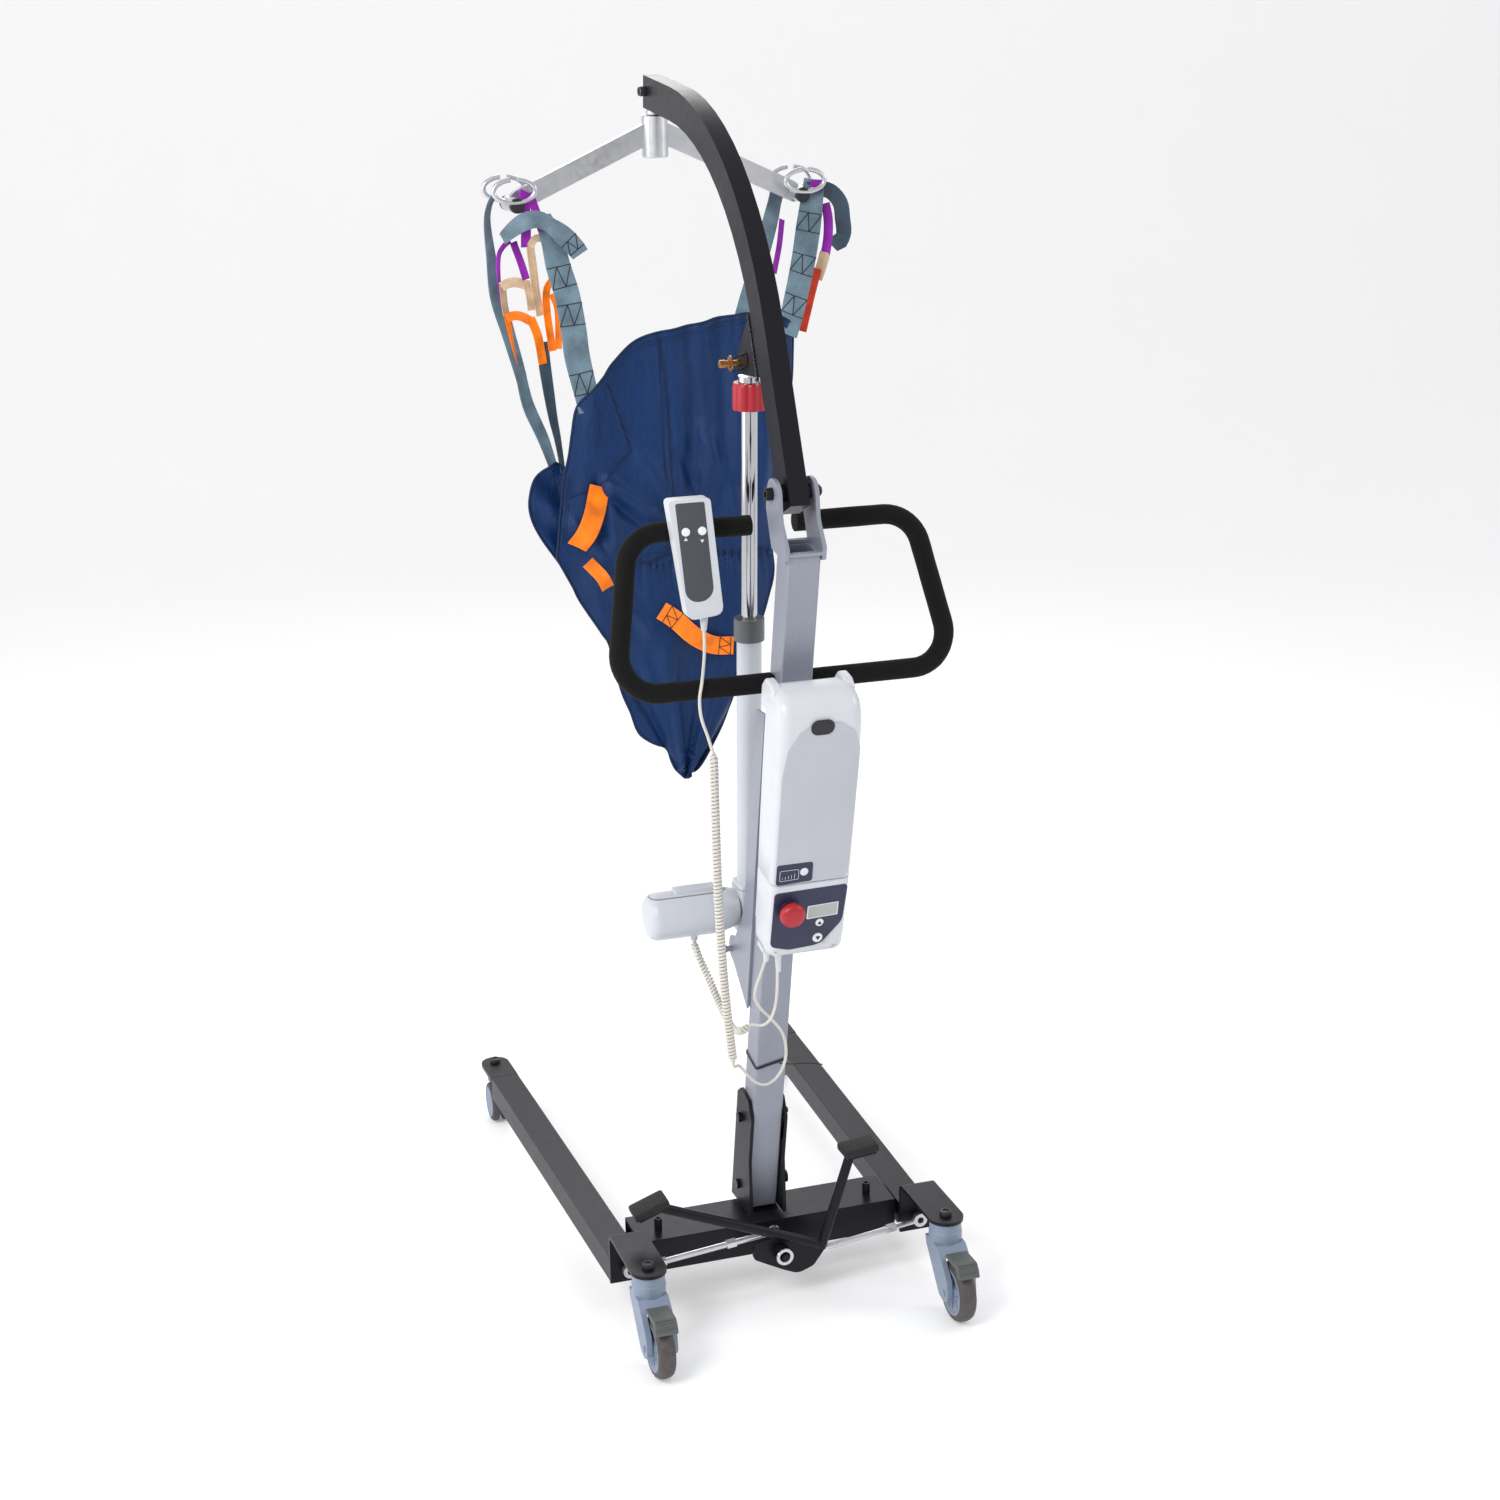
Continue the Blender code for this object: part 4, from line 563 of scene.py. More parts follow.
def tube(name, routes, radius, material, sides=4, closed=False):
    """A round wire along one route, or one curve object with several routes."""
    if isinstance(routes[0][0], (int, float)) or isinstance(routes[0], Vector):
        routes = [routes]
    curve = bpy.data.curves.new(name, "CURVE")
    curve.dimensions = "3D"
    curve.bevel_depth = radius
    curve.bevel_resolution = sides
    curve.use_fill_caps = True
    for route in routes:
        spline = curve.splines.new("POLY")
        spline.points.add(len(route) - 1)
        for point, place in zip(spline.points, route):
            point.co = (*place, 1.0)
        spline.use_smooth = True
        spline.use_cyclic_u = closed
    curve.materials.append(material)
    obj = bpy.data.objects.new(name, curve)
    PIECES.objects.link(obj)
    return obj


def loft(name, sections, material, matrix=None, degrees=50.0):
    """A closed skin through sections of equal point count, with flat ends."""
    shape = bmesh.new()
    rings = [[shape.verts.new(p) for p in section] for section in sections]
    for first, second in zip(rings, rings[1:]):
        for i in range(len(first)):
            j = (i + 1) % len(first)
            shape.faces.new((first[i], first[j], second[j], second[i]))
    shape.faces.new(rings[0][::-1])
    shape.faces.new(rings[-1])
    return from_bmesh(name, shape, material, matrix, degrees)


def strap_frames(path, width):
    """Along a strap's path: point, direction, way across, way back and half width, every 6 mm."""
    path = [(*p, 1)[:5] for p in path]
    points = smooth_path([Vector(p[:3]) for p in path], STRAP_STEP)
    total = len(points) - 1
    frames = []
    for i, point in enumerate(points):
        tangent = (points[min(i + 1, total)] - points[max(i - 1, 0)]).normalized()
        place = i / total * (len(path) - 1)
        k = min(int(place), len(path) - 2)
        share = place - k
        turn = math.radians(path[k][3] * (1 - share) + path[k + 1][3] * share)
        wide = (path[k][4] * (1 - share) + path[k + 1][4] * share) * width / 2
        side = tangent.cross(Vector((0, -1, 0))).normalized()
        facing = side.cross(tangent).normalized()
        lie = side * math.cos(turn) + facing * math.sin(turn)
        frames.append((point, tangent, lie, tangent.cross(lie).normalized(), wide))
    return frames


def ribbon(name, path, width, material, thickness=0.0016, cup=0.0012):
    """A strap through (x, y, z, turn in degrees, share of width or 1), facing -Y where turn is 0."""
    shape = bmesh.new()
    layer = shape.loops.layers.uv.new("strap")
    rows = []
    spots = {}
    across = 6
    for i, (point, _tangent, lie, rise, wide) in enumerate(strap_frames(path, width)):
        row = []
        for j in range(across + 1):
            u = 2 * j / across - 1
            corner = shape.verts.new(point + lie * (wide * u) + rise * (cup * (1 - u * u)))
            spots[corner] = (wide * u, i * STRAP_STEP)
            row.append(corner)
        rows.append(row)
    for first, second in zip(rows, rows[1:]):
        for j in range(across):
            face = shape.faces.new((first[j], first[j + 1], second[j + 1], second[j]))
            for loop in face.loops:
                loop[layer].uv = spots[loop.vert]
    mesh = bpy.data.meshes.new(name)
    shape.to_mesh(mesh)
    shape.free()
    obj = shown(name, mesh, material, 70.0)
    modify(obj, "SOLIDIFY", thickness=thickness, offset=0.0)
    modify(obj, "BEVEL", width=0.0005, segments=2, limit_method="ANGLE")
    return apply_modifiers(obj)


# ---------------------------------------------------------------- camera, light and floor


def camera():
    """The viewing angle: behind the push handle, above it and to its left."""
    turn = math.radians(18.44)
    pitch = math.radians(17.16)
    roll = math.radians(-0.754)
    ahead = Vector((math.sin(turn) * math.cos(pitch), math.cos(turn) * math.cos(pitch), -math.sin(pitch)))
    level = Vector((math.cos(turn), -math.sin(turn), 0.0))
    above = level.cross(ahead)
    right = level * math.cos(roll) + above * math.sin(roll)
    up = above * math.cos(roll) - level * math.sin(roll)
    data = bpy.data.cameras.new("camera")
    data.sensor_width = 36.0
    data.lens = 58.38
    data.clip_end = 60.0
    obj = bpy.data.objects.new("camera", data)
    place = Matrix((right, up, -ahead)).transposed().to_4x4()
    place.translation = (-1.1587, -3.6861, 2.0411)
    obj.matrix_world = place
    bpy.context.scene.collection.objects.link(obj)
    bpy.context.scene.camera = obj


def area_light(name, place, target, size, power):
    data = bpy.data.lights.new(name, "AREA")
    data.size = size
    data.energy = power
    obj = bpy.data.objects.new(name, data)
    way = Vector(target) - Vector(place)
    obj.matrix_world = to_axis(place, -way)
    bpy.context.scene.collection.objects.link(obj)


def studio():
    """A white room lit mostly from the left, whose floor sweeps up into a wall far behind."""
    world = bpy.data.worlds.new("studio")
    world.use_nodes = True
    back = world.node_tree.nodes["Background"]
    back.inputs["Color"].default_value = (1.0, 1.0, 1.0, 1.0)
    back.inputs["Strength"].default_value = 0.7
    bpy.context.scene.world = world
    bpy.context.scene.view_settings.view_transform = "Standard"
    area_light("key_light", (-2.7, -2.2, 3.3), (0, 0, 1.0), 1.5, 84)
    area_light("left_panel", (-3.3, 0.4, 1.7), (0, 0, 1.1), 2.4, 32)
    area_light("right_light", (3.2, -1.2, 2.6), (0, 0, 1.0), 1.2, 26)
    area_light("back_light", (0.8, 3.2, 3.0), (0, 0, 1.1), 1.6, 30)
    profile = [(-12.0, 0.0), (5.0, 0.0)]
    profile += [
        (
            5.0 + 3.0 * math.sin(math.radians(a)), 3.0 - 3.0 * math.cos(math.radians(a)),
        ) for a in range(6, 91, 6)
    ]
    profile.append((8.0, 10.0))
    shape = bmesh.new()
    rows = [[shape.verts.new((x, y, z - STAGE_DROP)) for x in (-16.0, 16.0)] for y, z in profile]
    for first, second in zip(rows, rows[1:]):
        shape.faces.new((first[0], first[1], second[1], second[0]))
    floor = from_bmesh("studio_floor", shape, floor_finish())


# ---------------------------------------------------------------- cords


def coiled_cord(name, route_start, route_coil, route_end, coil_radius, nodes):
    """One cord: straight, then a curly stretch whose helix is wound by a loop, then straight to its gland."""
    start = smooth_path(route_start, CORD_LENGTH_STEP) if route_start else []
    middle = smooth_path(route_coil, 0.002)
    end = smooth_path(route_end, CORD_LENGTH_STEP)
    lengths = lengths_along(middle)
    total = lengths[-1]
    turns = round(total / COIL_PITCH)
    count = turns * COIL_POINTS
    winding = coil_radius - CORD_RADIUS
    side = (middle[1] - middle[0]).orthogonal().normalized()
    points = list(start)
    k = 0
    for i in range(1, count):
        wanted = total * i / count
        while k < len(lengths) - 2 and lengths[k + 1] < wanted:
            k += 1
        share = (wanted - lengths[k]) / (lengths[k + 1] - lengths[k])
        centre = middle[k].lerp(middle[k + 1], share)
        way = (middle[k + 1] - middle[k]).normalized()
        side = (side - way * side.dot(way)).normalized()
        other = way.cross(side)
        reach = winding * min(1.0, 3.0 * i / COIL_POINTS / 4, 3.0 * (count - i) / COIL_POINTS / 4)
        angle = 2 * math.pi * i / COIL_POINTS
        points.append(centre + (side * math.cos(angle) + other * math.sin(angle)) * reach)
    if not start:
        points.insert(0, middle[0])
    points += end
    cord = tube(name, points, CORD_RADIUS, FINISHES["cord"], 3)
    ride(cord, "frame", "cord", *nodes)


def cords():
    coiled_cord(
        "handset_cord",
        [
            (-0.119, -0.3612, 1.1493), (-0.1198, -0.364, 1.138), (-0.124, -0.376, 1.118),
            (-0.133, -0.398, 1.102), (-0.142, -0.418, 1.086), (-0.147, -0.422, 1.064),
            (-0.144, -0.42, 1.035), (-0.134, -0.418, 1.005), (-0.1268, -0.418, 0.9797),
        ],
        [
            (-0.126, -0.418, 0.979), (-0.1245, -0.416, 0.9), (-0.12, -0.41, 0.75), (-0.1095, -0.4, 0.6),
            (-0.094, -0.39, 0.465),
        ],
        [
            (-0.0938, -0.3898, 0.4636), (-0.0915, -0.387, 0.457), (-0.085, -0.374, 0.449),
            (-0.076, -0.359, 0.443), (-0.063, -0.339, 0.428), (-0.048, -0.334, 0.407),
            (-0.031, -0.331, 0.392), (-0.014, -0.331, 0.391), (0.002, -0.335, 0.408), (0.01, -0.341, 0.44),
            (0.003, -0.349, 0.479), (-0.017, -0.357, 0.51), (-0.039, -0.366, 0.536), (-0.052, -0.376, 0.56),
            (-0.054, -0.388, 0.585), (-0.05, -0.399, 0.61), (-0.0478, -0.414, 0.6366),
        ],
        0.0073, ("handset_cord_lead", "handset_cord_coil", "handset_cord_tail"),
    )
    coiled_cord(
        "motor_cord", [],
        [
            (-0.095, -0.2006, 0.597), (-0.0945, -0.2008, 0.588), (-0.088, -0.206, 0.566),
            (-0.08, -0.225, 0.54), (-0.075, -0.256, 0.514), (-0.072, -0.29, 0.496), (-0.071, -0.322, 0.49),
            (-0.066, -0.348, 0.496), (-0.056, -0.36, 0.509),
        ],
        [
            (-0.0552, -0.3608, 0.5098), (-0.049, -0.366, 0.512), (-0.04, -0.372, 0.511),
            (-0.029, -0.378, 0.521), (-0.023, -0.386, 0.545), (-0.023, -0.396, 0.575),
            (-0.0258, -0.4075, 0.6162),
        ],
        0.0065, ("motor_lead_coil", "motor_lead_tail"),
    )


# ---------------------------------------------------------------- CAD nodes kept as they are


KEPT_BEVELS = {
    "mast_tube": 0.0035, "boom_tube": 0.0035, "left_leg_tube": 0.004, "right_leg_tube": 0.004,
    "cross_beam": 0.003, "mast_bracket": 0.0012, "mast_clevis": 0.0012, "left_caster_bracket": 0.0012,
    "right_caster_bracket": 0.0012, "left_tip_plate": 0.001, "right_tip_plate": 0.001,
    "spreader_bar": 0.001, "boom_lug": 0.0008, "actuator_mount": 0.0008, "pedal_lever": 0.0012,
    "handset_body": 0.002, "left_front_fork": 0.0008, "right_front_fork": 0.0008,
}


def dress_cad():
    """Every CAD node that stays gets its own finish, welded and with its edges eased."""
    slots = {part["node"]: part["material_slot"] for part in FRAME["record"]["subparts"]}
    own = {"actuator_housing": ACTUATOR_SHELL, "actuator_motor": ACTUATOR_SHELL}
    for name, obj in NODES.items():
        obj.data.materials.clear()
        obj.data.materials.append(own.get(name) or FINISHES[slots[name]])
        modify(obj, "WELD", merge_threshold=0.00002)
        modify(obj, "NODES", node_group=SMOOTH)
        round_edges(obj, KEPT_BEVELS.get(name, 0.0006), 3, 32.0)
        obj.modifiers["bevel"].harden_normals = True


# ---------------------------------------------------------------- handle


def foam_grips():
    """Foam sleeves over the push handle, a little uneven along their length."""
    for side, name in ((-1, "left"), (1, "right")):
        low = (side * HANDLE_LOW[0], HANDLE_LOW[1], HANDLE_LOW[2])
        high = (side * HANDLE_HIGH[0], HANDLE_HIGH[1], HANDLE_HIGH[2])
        near = (side * 0.0285, HANDLE_LOW[1], HANDLE_LOW[2])
        free = (side * 0.035, HANDLE_HIGH[1], HANDLE_HIGH[2])
        route = even_points(filleted([near, low, high, free], HANDLE_BEND), 0.008)
        grip = tube(f"{name}_foam_grip_skin", route, GRIP_RADIUS, FINISHES["foam"], 8)
        for point, place in zip(grip.data.splines[0].points, route):
            point.radius = 1.0 + 0.025 * noise.noise(Vector(place) * 25.0)
        ride(grip, "frame", "foam", f"{name}_foam_grip")


# ---------------------------------------------------------------- control box


def box_section(along, half, front, rear, corner, steps=5):
    """A rounded rectangle across the mast, in mast coordinates."""
    corners = [(-half, -rear), (half, -rear), (half, -front), (-half, -front)]
    return [(x, y, along) for x, y in rounded(corners, [0.008, 0.008, corner, corner], steps)]


def battery():
    rows = (
        (BOX_SEAM + 0.0006, 0.0622, 0.1385, 0.0735, 0.01),
        (BOX_SEAM + 0.002, 0.0632, 0.1403, 0.0715, 0.012), (0.9, 0.0645, 0.1406, 0.0713, 0.013),
        (1.0, 0.0655, 0.1408, 0.0713, 0.015), (1.06, 0.0658, 0.141, 0.0713, 0.018),
        (1.085, 0.0658, 0.1405, 0.0713, 0.02), (1.103, 0.0652, 0.1375, 0.0713, 0.021),
        (1.116, 0.0635, 0.131, 0.0715, 0.02), (1.125, 0.06, 0.122, 0.072, 0.018),
        (1.1305, 0.055, 0.112, 0.073, 0.016), (BOX_TOP - 0.0025, 0.05, 0.1, 0.0745, 0.01),
    )
    shell = loft("battery_shell", [box_section(*row) for row in rows], FINISHES["white_plastic"], MAST)
    ride(shell, "battery", "white_plastic", "battery_pack")
    for side, name in ((-1, "left"), (1, "right")):
        outline = rounded(
            [
                (-0.092, 1.09), (-0.048, 1.086), (-0.047, 1.12), (-0.06, 1.136), (-0.084, 1.1365),
                (-0.1, 1.128),
            ],
            [0.006, 0.008, 0.012, 0.01, 0.012, 0.01],
        )
        low, high = (0.0485, 0.0635) if side > 0 else (-0.0635, -0.0485)
        ear = plate(f"battery_{name}_ear", outline, low, high, FINISHES["white_plastic"], MAST @ SIDEWAYS)
        round_edges(ear, 0.0035, 4)
        ride(ear, "battery", "white_plastic")
    arch = [(-0.0575, 0.832), (0.056, 0.832), (0.0605, 1.0), (0.0605, 1.05), (0.05, 1.08), (0.028, 1.0935)]
    arch += [(-0.008, 1.096), (-0.034, 1.083), (-0.051, 1.055), (-0.0575, 1.01)]
    face = front_plate("battery_face", rounded(arch, 0.012), 0.0006, 0.0012, FACE_GREY)
    ride(face, "battery", "white_plastic")
    oval = rounded([(-0.018, 1.077), (0.018, 1.077), (0.018, 1.101), (-0.018, 1.101)], 0.0115, 8)
    ride(front_plate("battery_release", oval, 0.0009, 0.002, BLACK_PLASTIC), "battery", "white_plastic")
    label = rounded([(-0.057, 0.831), (0.0, 0.833), (0.0, 0.8655), (-0.057, 0.8655)], 0.0045)
    ride(front_plate("charge_plate", label, 0.001, 0.0018, PANEL_NAVY), "battery", "white_plastic")
    bars = []
    for k in range(5):
        x = -0.048 + 0.0048 * k
        bars.append([front_point(x, 0.8415, 0.0021), front_point(x, 0.844 + 0.0014 * k, 0.0021)])
    frame = rounded([(-0.052, 0.8385), (-0.0225, 0.8395), (-0.0225, 0.856), (-0.052, 0.856)], 0.002, 3)
    bars.append([front_point(x, s, 0.0021) for x, s in frame + frame[:1]])
    ride(tube("charge_marks", bars, 0.00035, WHITE_PRINT, 1), "battery", "white_plastic")
    ride(
        front_disc("charge_button", -0.0135, 0.85, 0.0066, 0.0014, 0.0028, WHITE_PRINT), "battery",
        "white_plastic",
    )


def front_matrix():
    """Local X across, local Y up the mast, local Z out of the box's face."""
    return MAST @ Matrix(((1, 0, 0, 0), (0, 0, -1, 0), (0, 1, 0, 0), (0, 0, 0, 1)))


def front_point(x, along, out):
    return front_matrix() @ Vector((x, along, -BOX_FACE + out))


def front_plate(name, outline, low, high, material):
    edge = min(0.0005, (high - low) / 2)
    return plate(
        name, outline, low - BOX_FACE - 0.0012, high - BOX_FACE - 0.0008, material, front_matrix(), edge,
    )


def front_disc(name, x, along, radius, low, high, material):
    profile = [
        (0, high), (radius * 0.7, high), (radius - 0.0006, high - 0.0003), (radius, high - 0.001),
        (radius, low),
    ]
    centre = front_matrix() @ Vector((x, along, -BOX_FACE - 0.001))
    way = front_matrix().to_3x3() @ Vector((0, 0, 1))
    return lathe(name, profile[::-1], centre, way, material, 32)


def bore(obj, start, end, radius):
    """Cuts a round hole from start to end into a piece."""
    way = Vector(end) - Vector(start)
    cutter = lathe(
        "bore_cutter", [(0, 0), (radius, 0), (radius, way.length), (0, way.length)], start, way,
        BLACK_PLASTIC, 40,
    )
    modify(obj, "BOOLEAN", object=cutter, operation="DIFFERENCE", solver="EXACT")
    bpy.context.view_layer.update()
    apply_modifiers(obj)
    bpy.data.objects.remove(cutter)


def housing():
    rows = (
        (BOX_BOTTOM, 0.052, 0.13, 0.08, 0.01), (BOX_BOTTOM + 0.0035, 0.057, 0.136, 0.075, 0.012),
        (BOX_BOTTOM + 0.01, 0.06, 0.139, 0.072, 0.014), (0.73, 0.0612, 0.1398, 0.0708, 0.014),
        (0.78, 0.0622, 0.14, 0.0706, 0.013), (BOX_SEAM - 0.0022, 0.0632, 0.1402, 0.0706, 0.012),
        (BOX_SEAM - 0.0006, 0.0622, 0.1385, 0.072, 0.01),
    )
    shell = loft("housing_shell", [box_section(*row) for row in rows], FINISHES["white_plastic"], MAST)
    for x, along, radius in ((0.017, 0.757, 0.0069), (0.0155, 0.7305, 0.0084)):
        bore(
            shell, front_matrix() @ Vector((x, along, 0.1445)), front_matrix() @ Vector((x, along, 0.13)),
            radius,
        )
    ride(shell, "frame", "white_plastic")
    back = [
        box_section(s, h, 0.0725, 0.0262, 0.004) for s,
        h in ((0.709, 0.043), (0.713, 0.046), (1.095, 0.046), (1.099, 0.043))
    ]
    ride(
        loft("housing_back", back, FINISHES["white_plastic"], MAST), "frame", "white_plastic",
        "control_housing",
    )
    panel = rounded(
        [
            (-0.0595, 0.724), (-0.03, 0.715), (0.02, 0.718), (0.0535, 0.756), (0.0585, 0.819),
            (-0.0575, 0.8165),
        ],
        [0.01, 0.03, 0.03, 0.024, 0.006, 0.006],
    )
    ride(front_plate("control_panel", panel, 0.0006, 0.0012, PANEL_NAVY), "frame", "white_plastic")
    bezel = rounded([(-0.0045, 0.7655), (0.045, 0.7675), (0.0455, 0.7905), (-0.004, 0.7885)], 0.0015, 3)
    ride(front_plate("screen_bezel", bezel, 0.001, 0.0018, FINISHES["zinc"]), "frame", "white_plastic")
    glass = rounded([(-0.0025, 0.7673), (0.0432, 0.7692), (0.0437, 0.7888), (-0.002, 0.7868)], 0.001, 3)
    ride(front_plate("screen", glass, 0.0014, 0.0022, SCREEN), "frame", "white_plastic")
    for name, x, along, reach, way in (
        ("raise", 0.017, 0.757, 0.003, 1),
        ("lower", 0.0155, 0.7305, 0.0036, -1),
    ):
        radius = 0.0064 if name == "raise" else 0.0079
        cap = front_disc(f"{name}_cap", x, along, radius, 0.0, 0.0026, FINISHES["button"])
        ride(cap, name, "button", f"{name}_button")
        outline = [
            (x - reach, along - way * reach * 0.7), (x + reach, along - way * reach * 0.7),
            (x, along + way * reach),
        ]
        arrow = front_plate(f"{name}_arrow", outline[:: way], 0.0028, 0.004, BLACK_PLASTIC)
        ride(arrow, name, "button")
    centre = MAST @ Vector((-0.033, 0.0, 0.786))
    out = MAST.to_3x3() @ Vector((0, -1, 0))
    collar = [(0.01, 0.1403), (0.015, 0.1403), (0.015, 0.1414), (0.0142, 0.1422), (0.01, 0.1422)]
    ride(lathe("stop_collar", collar, centre, out, BLACK_PLASTIC), "frame", "white_plastic")
    mushroom = [
        (0, 0.138), (0.0088, 0.138), (0.009, 0.1485), (0.015, 0.1492), (0.0185, 0.1512), (0.0197, 0.156),
    ]
    mushroom += [(0.0192, 0.1605), (0.017, 0.1642), (0.0135, 0.1662), (0.007, 0.1672), (0, 0.1675)]
    ride(
        lathe("stop_button", mushroom, centre, out, FINISHES["red_plastic"]), "stop", "red_plastic",
        "emergency_stop",
    )
    foot = lathe(
        "housing_foot", [(0, 0), (0.0072, 0), (0.0072, 0.006), (0.006, 0.0085), (0, 0.0085)],
        MAST @ Vector((0.028, -0.11, 0.7035)), MAST.to_3x3() @ Vector((0, 0, -1)), BLACK_PLASTIC, 24,
    )
    ride(foot, "frame", "white_plastic")
    for x in (-0.05, 0.044):
        screw = lathe(
            f"box_screw_{('left' if x < 0 else 'right')}",
            [(0, 0.1404), (0.0032, 0.1404), (0.0028, 0.1412), (0, 0.1412)], MAST @ Vector((x, 0, 0.7085)),
            out, FINISHES["zinc"], 16,
        )
        ride(screw, "frame", "white_plastic")


# ---------------------------------------------------------------- handset


def handset():
    """Dark inlay with its two round keys, on the CAD shell."""
    inlay = rounded(
        [(-0.163, 1.346), (-0.1185, 1.346), (-0.105, 1.2), (-0.148, 1.196)], [0.003, 0.003, 0.02, 0.02], 8,
    )
    to_face = Matrix(((1, 0, 0, 0), (0, 0, -1, HANDSET_REAR), (0, 1, 0, 0), (0, 0, 0, 1)))
    face = plate("handset_inlay", inlay, -0.0006, 0.0004, INLAY_GREY, to_face, 0.0003)
    ride(face, "frame", "white_plastic")
    for name, x, way in (("up", -0.1477, 1), ("down", -0.1228, -1)):
        profile = [(0, 0.0036), (0.0052, 0.0034), (0.0062, 0.0026), (0.0064, 0.0012), (0.0064, -0.001)]
        key = lathe(
            f'handset_{name}_key', profile[::-1], (x, HANDSET_REAR, 1.3035), (0, -1, 0), FINISHES["button"],
            32,
        )
        ride(key, f"handset_{name}", "button", f"handset_{name}_button")
        mark = [(x - 0.003, 1.2905), (x + 0.003, 1.2905), (x, 1.2905 + way * 0.005)]
        sign = plate(f"handset_{name}_mark", mark, 0.0, 0.0006, WHITE_PRINT, to_face)
        ride(sign, "frame", "white_plastic")
    rings = []
    for k in range(6):
        z = 1.1725 - 0.0036 * k
        radius = 0.0066 - 0.0004 * k
        rings += [
            (radius, z + 0.0012), (radius, z - 0.0012), (radius - 0.0011, z - 0.0014),
            (radius - 0.0011, z - 0.0022),
        ]
    profile = [(0, 1.1745)] + rings + [(0.003, 1.1498), (0, 1.1498)]
    relief = lathe(
        "handset_strain_relief", [(r, z - 1.1498) for r, z in profile], (-0.119, -0.3606, 1.1498),
        (0, 0, 1), FINISHES["white_plastic"], 20
    )
    ride(relief, "frame", "white_plastic")


# ---------------------------------------------------------------- wheels


def wheels():
    grey = srgb(128, 141, 161)
    for side, name in ((-1, "left"), (1, "right")):
        x = side * REAR_WHEEL[0]
        centre = Vector((x, REAR_WHEEL[1], REAR_WHEEL[2]))
        skin = tread(f"{name}_rear_tread", centre, 0.0385, srgb(74, 68, 68), grey)
        profile = [(0.0056, 0.0142), (0.014, 0.0142), (0.015, 0.012), (0.0165, 0.0096), (0.029, 0.0096)]
        profile += [(0.032, 0.011), (0.0345, 0.0138), (0.038, 0.0142), (0.0388, 0.0136), (0.0395, 0.0142)]
        profile += [(0.043, 0.0138), (0.0462, 0.012), (0.0485, 0.0085), (0.0496, 0.0045), (0.05, 0.0)]
        profile += [(r, -h) for r, h in profile[-2::-1]]
        wheel = lathe(f"{name}_rear_tyre", profile + profile[:1], centre, (1, 0, 0), skin, 72)
        ride(wheel, f"{name}_rear_roller", "tyre", f"{name}_rear_wheel")
        spokes(name, centre, grey)
        x = side * FRONT_WHEEL[0]
        centre = Vector((x, FRONT_WHEEL[1], FRONT_WHEEL[2]))
        skin = tread(f"{name}_front_tread", centre, 0.0285, srgb(60, 58, 62), grey)
        half = [
            (0, 0.0176), (0.012, 0.018), (0.013, 0.0172), (0.026, 0.0172), (0.0285, 0.0178),
            (0.0295, 0.017),
        ]
        half += [(0.031, 0.0176), (0.0348, 0.0162), (0.037, 0.0125), (0.0375, 0.0085), (0.0368, 0.005)]
        half += [(0.035, 0.0043), (0.0062, 0.0043)]
        wheel = lathe(
            f'{name}_front_tyre', half + [(r, -h) for r, h in half[::-1]], centre, (1, 0, 0), skin, 64
        )
        ride(wheel, f"{name}_front_roller", "tyre", f"{name}_front_wheel")


def spokes(name, centre, grey):
    """Raised ribs on both faces of the rear wheel's disc."""
    shape = bmesh.new()
    for k in range(8):
        for face in (-1, 1):
            turn = Matrix.Rotation(2 * math.pi * (k + 0.5 * (face > 0)) / 8, 4, "X")
            place = turn @ Matrix.Translation(
                (face * 0.01, 0.0, 0.0235)
            ) @ Matrix.Diagonal((0.0022, 0.0024, 0.019, 1))
            bmesh.ops.create_cube(shape, size=1.0, matrix=Matrix.Translation(centre) @ place)
    ribs = from_bmesh(f"{name}_rear_wheel_ribs", shape, FINISHES["caster_grey"])
    round_edges(ribs, 0.0005, 2)
    ride(ribs, f"{name}_rear_roller", "caster_grey")


def brake_tabs():
    """The ribbed foot tab over each rear wheel."""
    axle_y = REAR_WHEEL[1]
    for side, name in ((-1, "left"), (1, "right")):
        x = side * REAR_WHEEL[0]
        outline = rounded(
            [
                (axle_y + 0.01, 0.1135), (axle_y + 0.012, 0.1068), (axle_y - 0.03, 0.106),
                (axle_y - 0.0405, 0.0916), (axle_y - 0.0445, 0.093), (axle_y - 0.0405, 0.104),
                (axle_y - 0.032, 0.114),
            ],
            [0.002, 0.002, 0.008, 0.002, 0.002, 0.006, 0.009], 5,
        )
        tab = plate(f"{name}_brake_tab", outline, x - 0.0184, x + 0.0184, FINISHES["brake_green"], SIDEWAYS)
        round_edges(tab, 0.0016, 3)
        ride(tab, f"{name}_brake", "brake_green", f"{name}_brake_pedal")
        ribs = []
        for k in range(4):
            y = axle_y - 0.0335 - 0.003 * k
            z = 0.1137 - 0.0042 * k
            ribs.append([(x - 0.0145, y, z), (x + 0.0145, y, z)])
        ride(
            tube(f'{name}_brake_ribs', ribs, 0.0008, FINISHES["brake_green"], 2), f'{name}_brake',
            "brake_green",
        )


# ---------------------------------------------------------------- actuator and boom trim


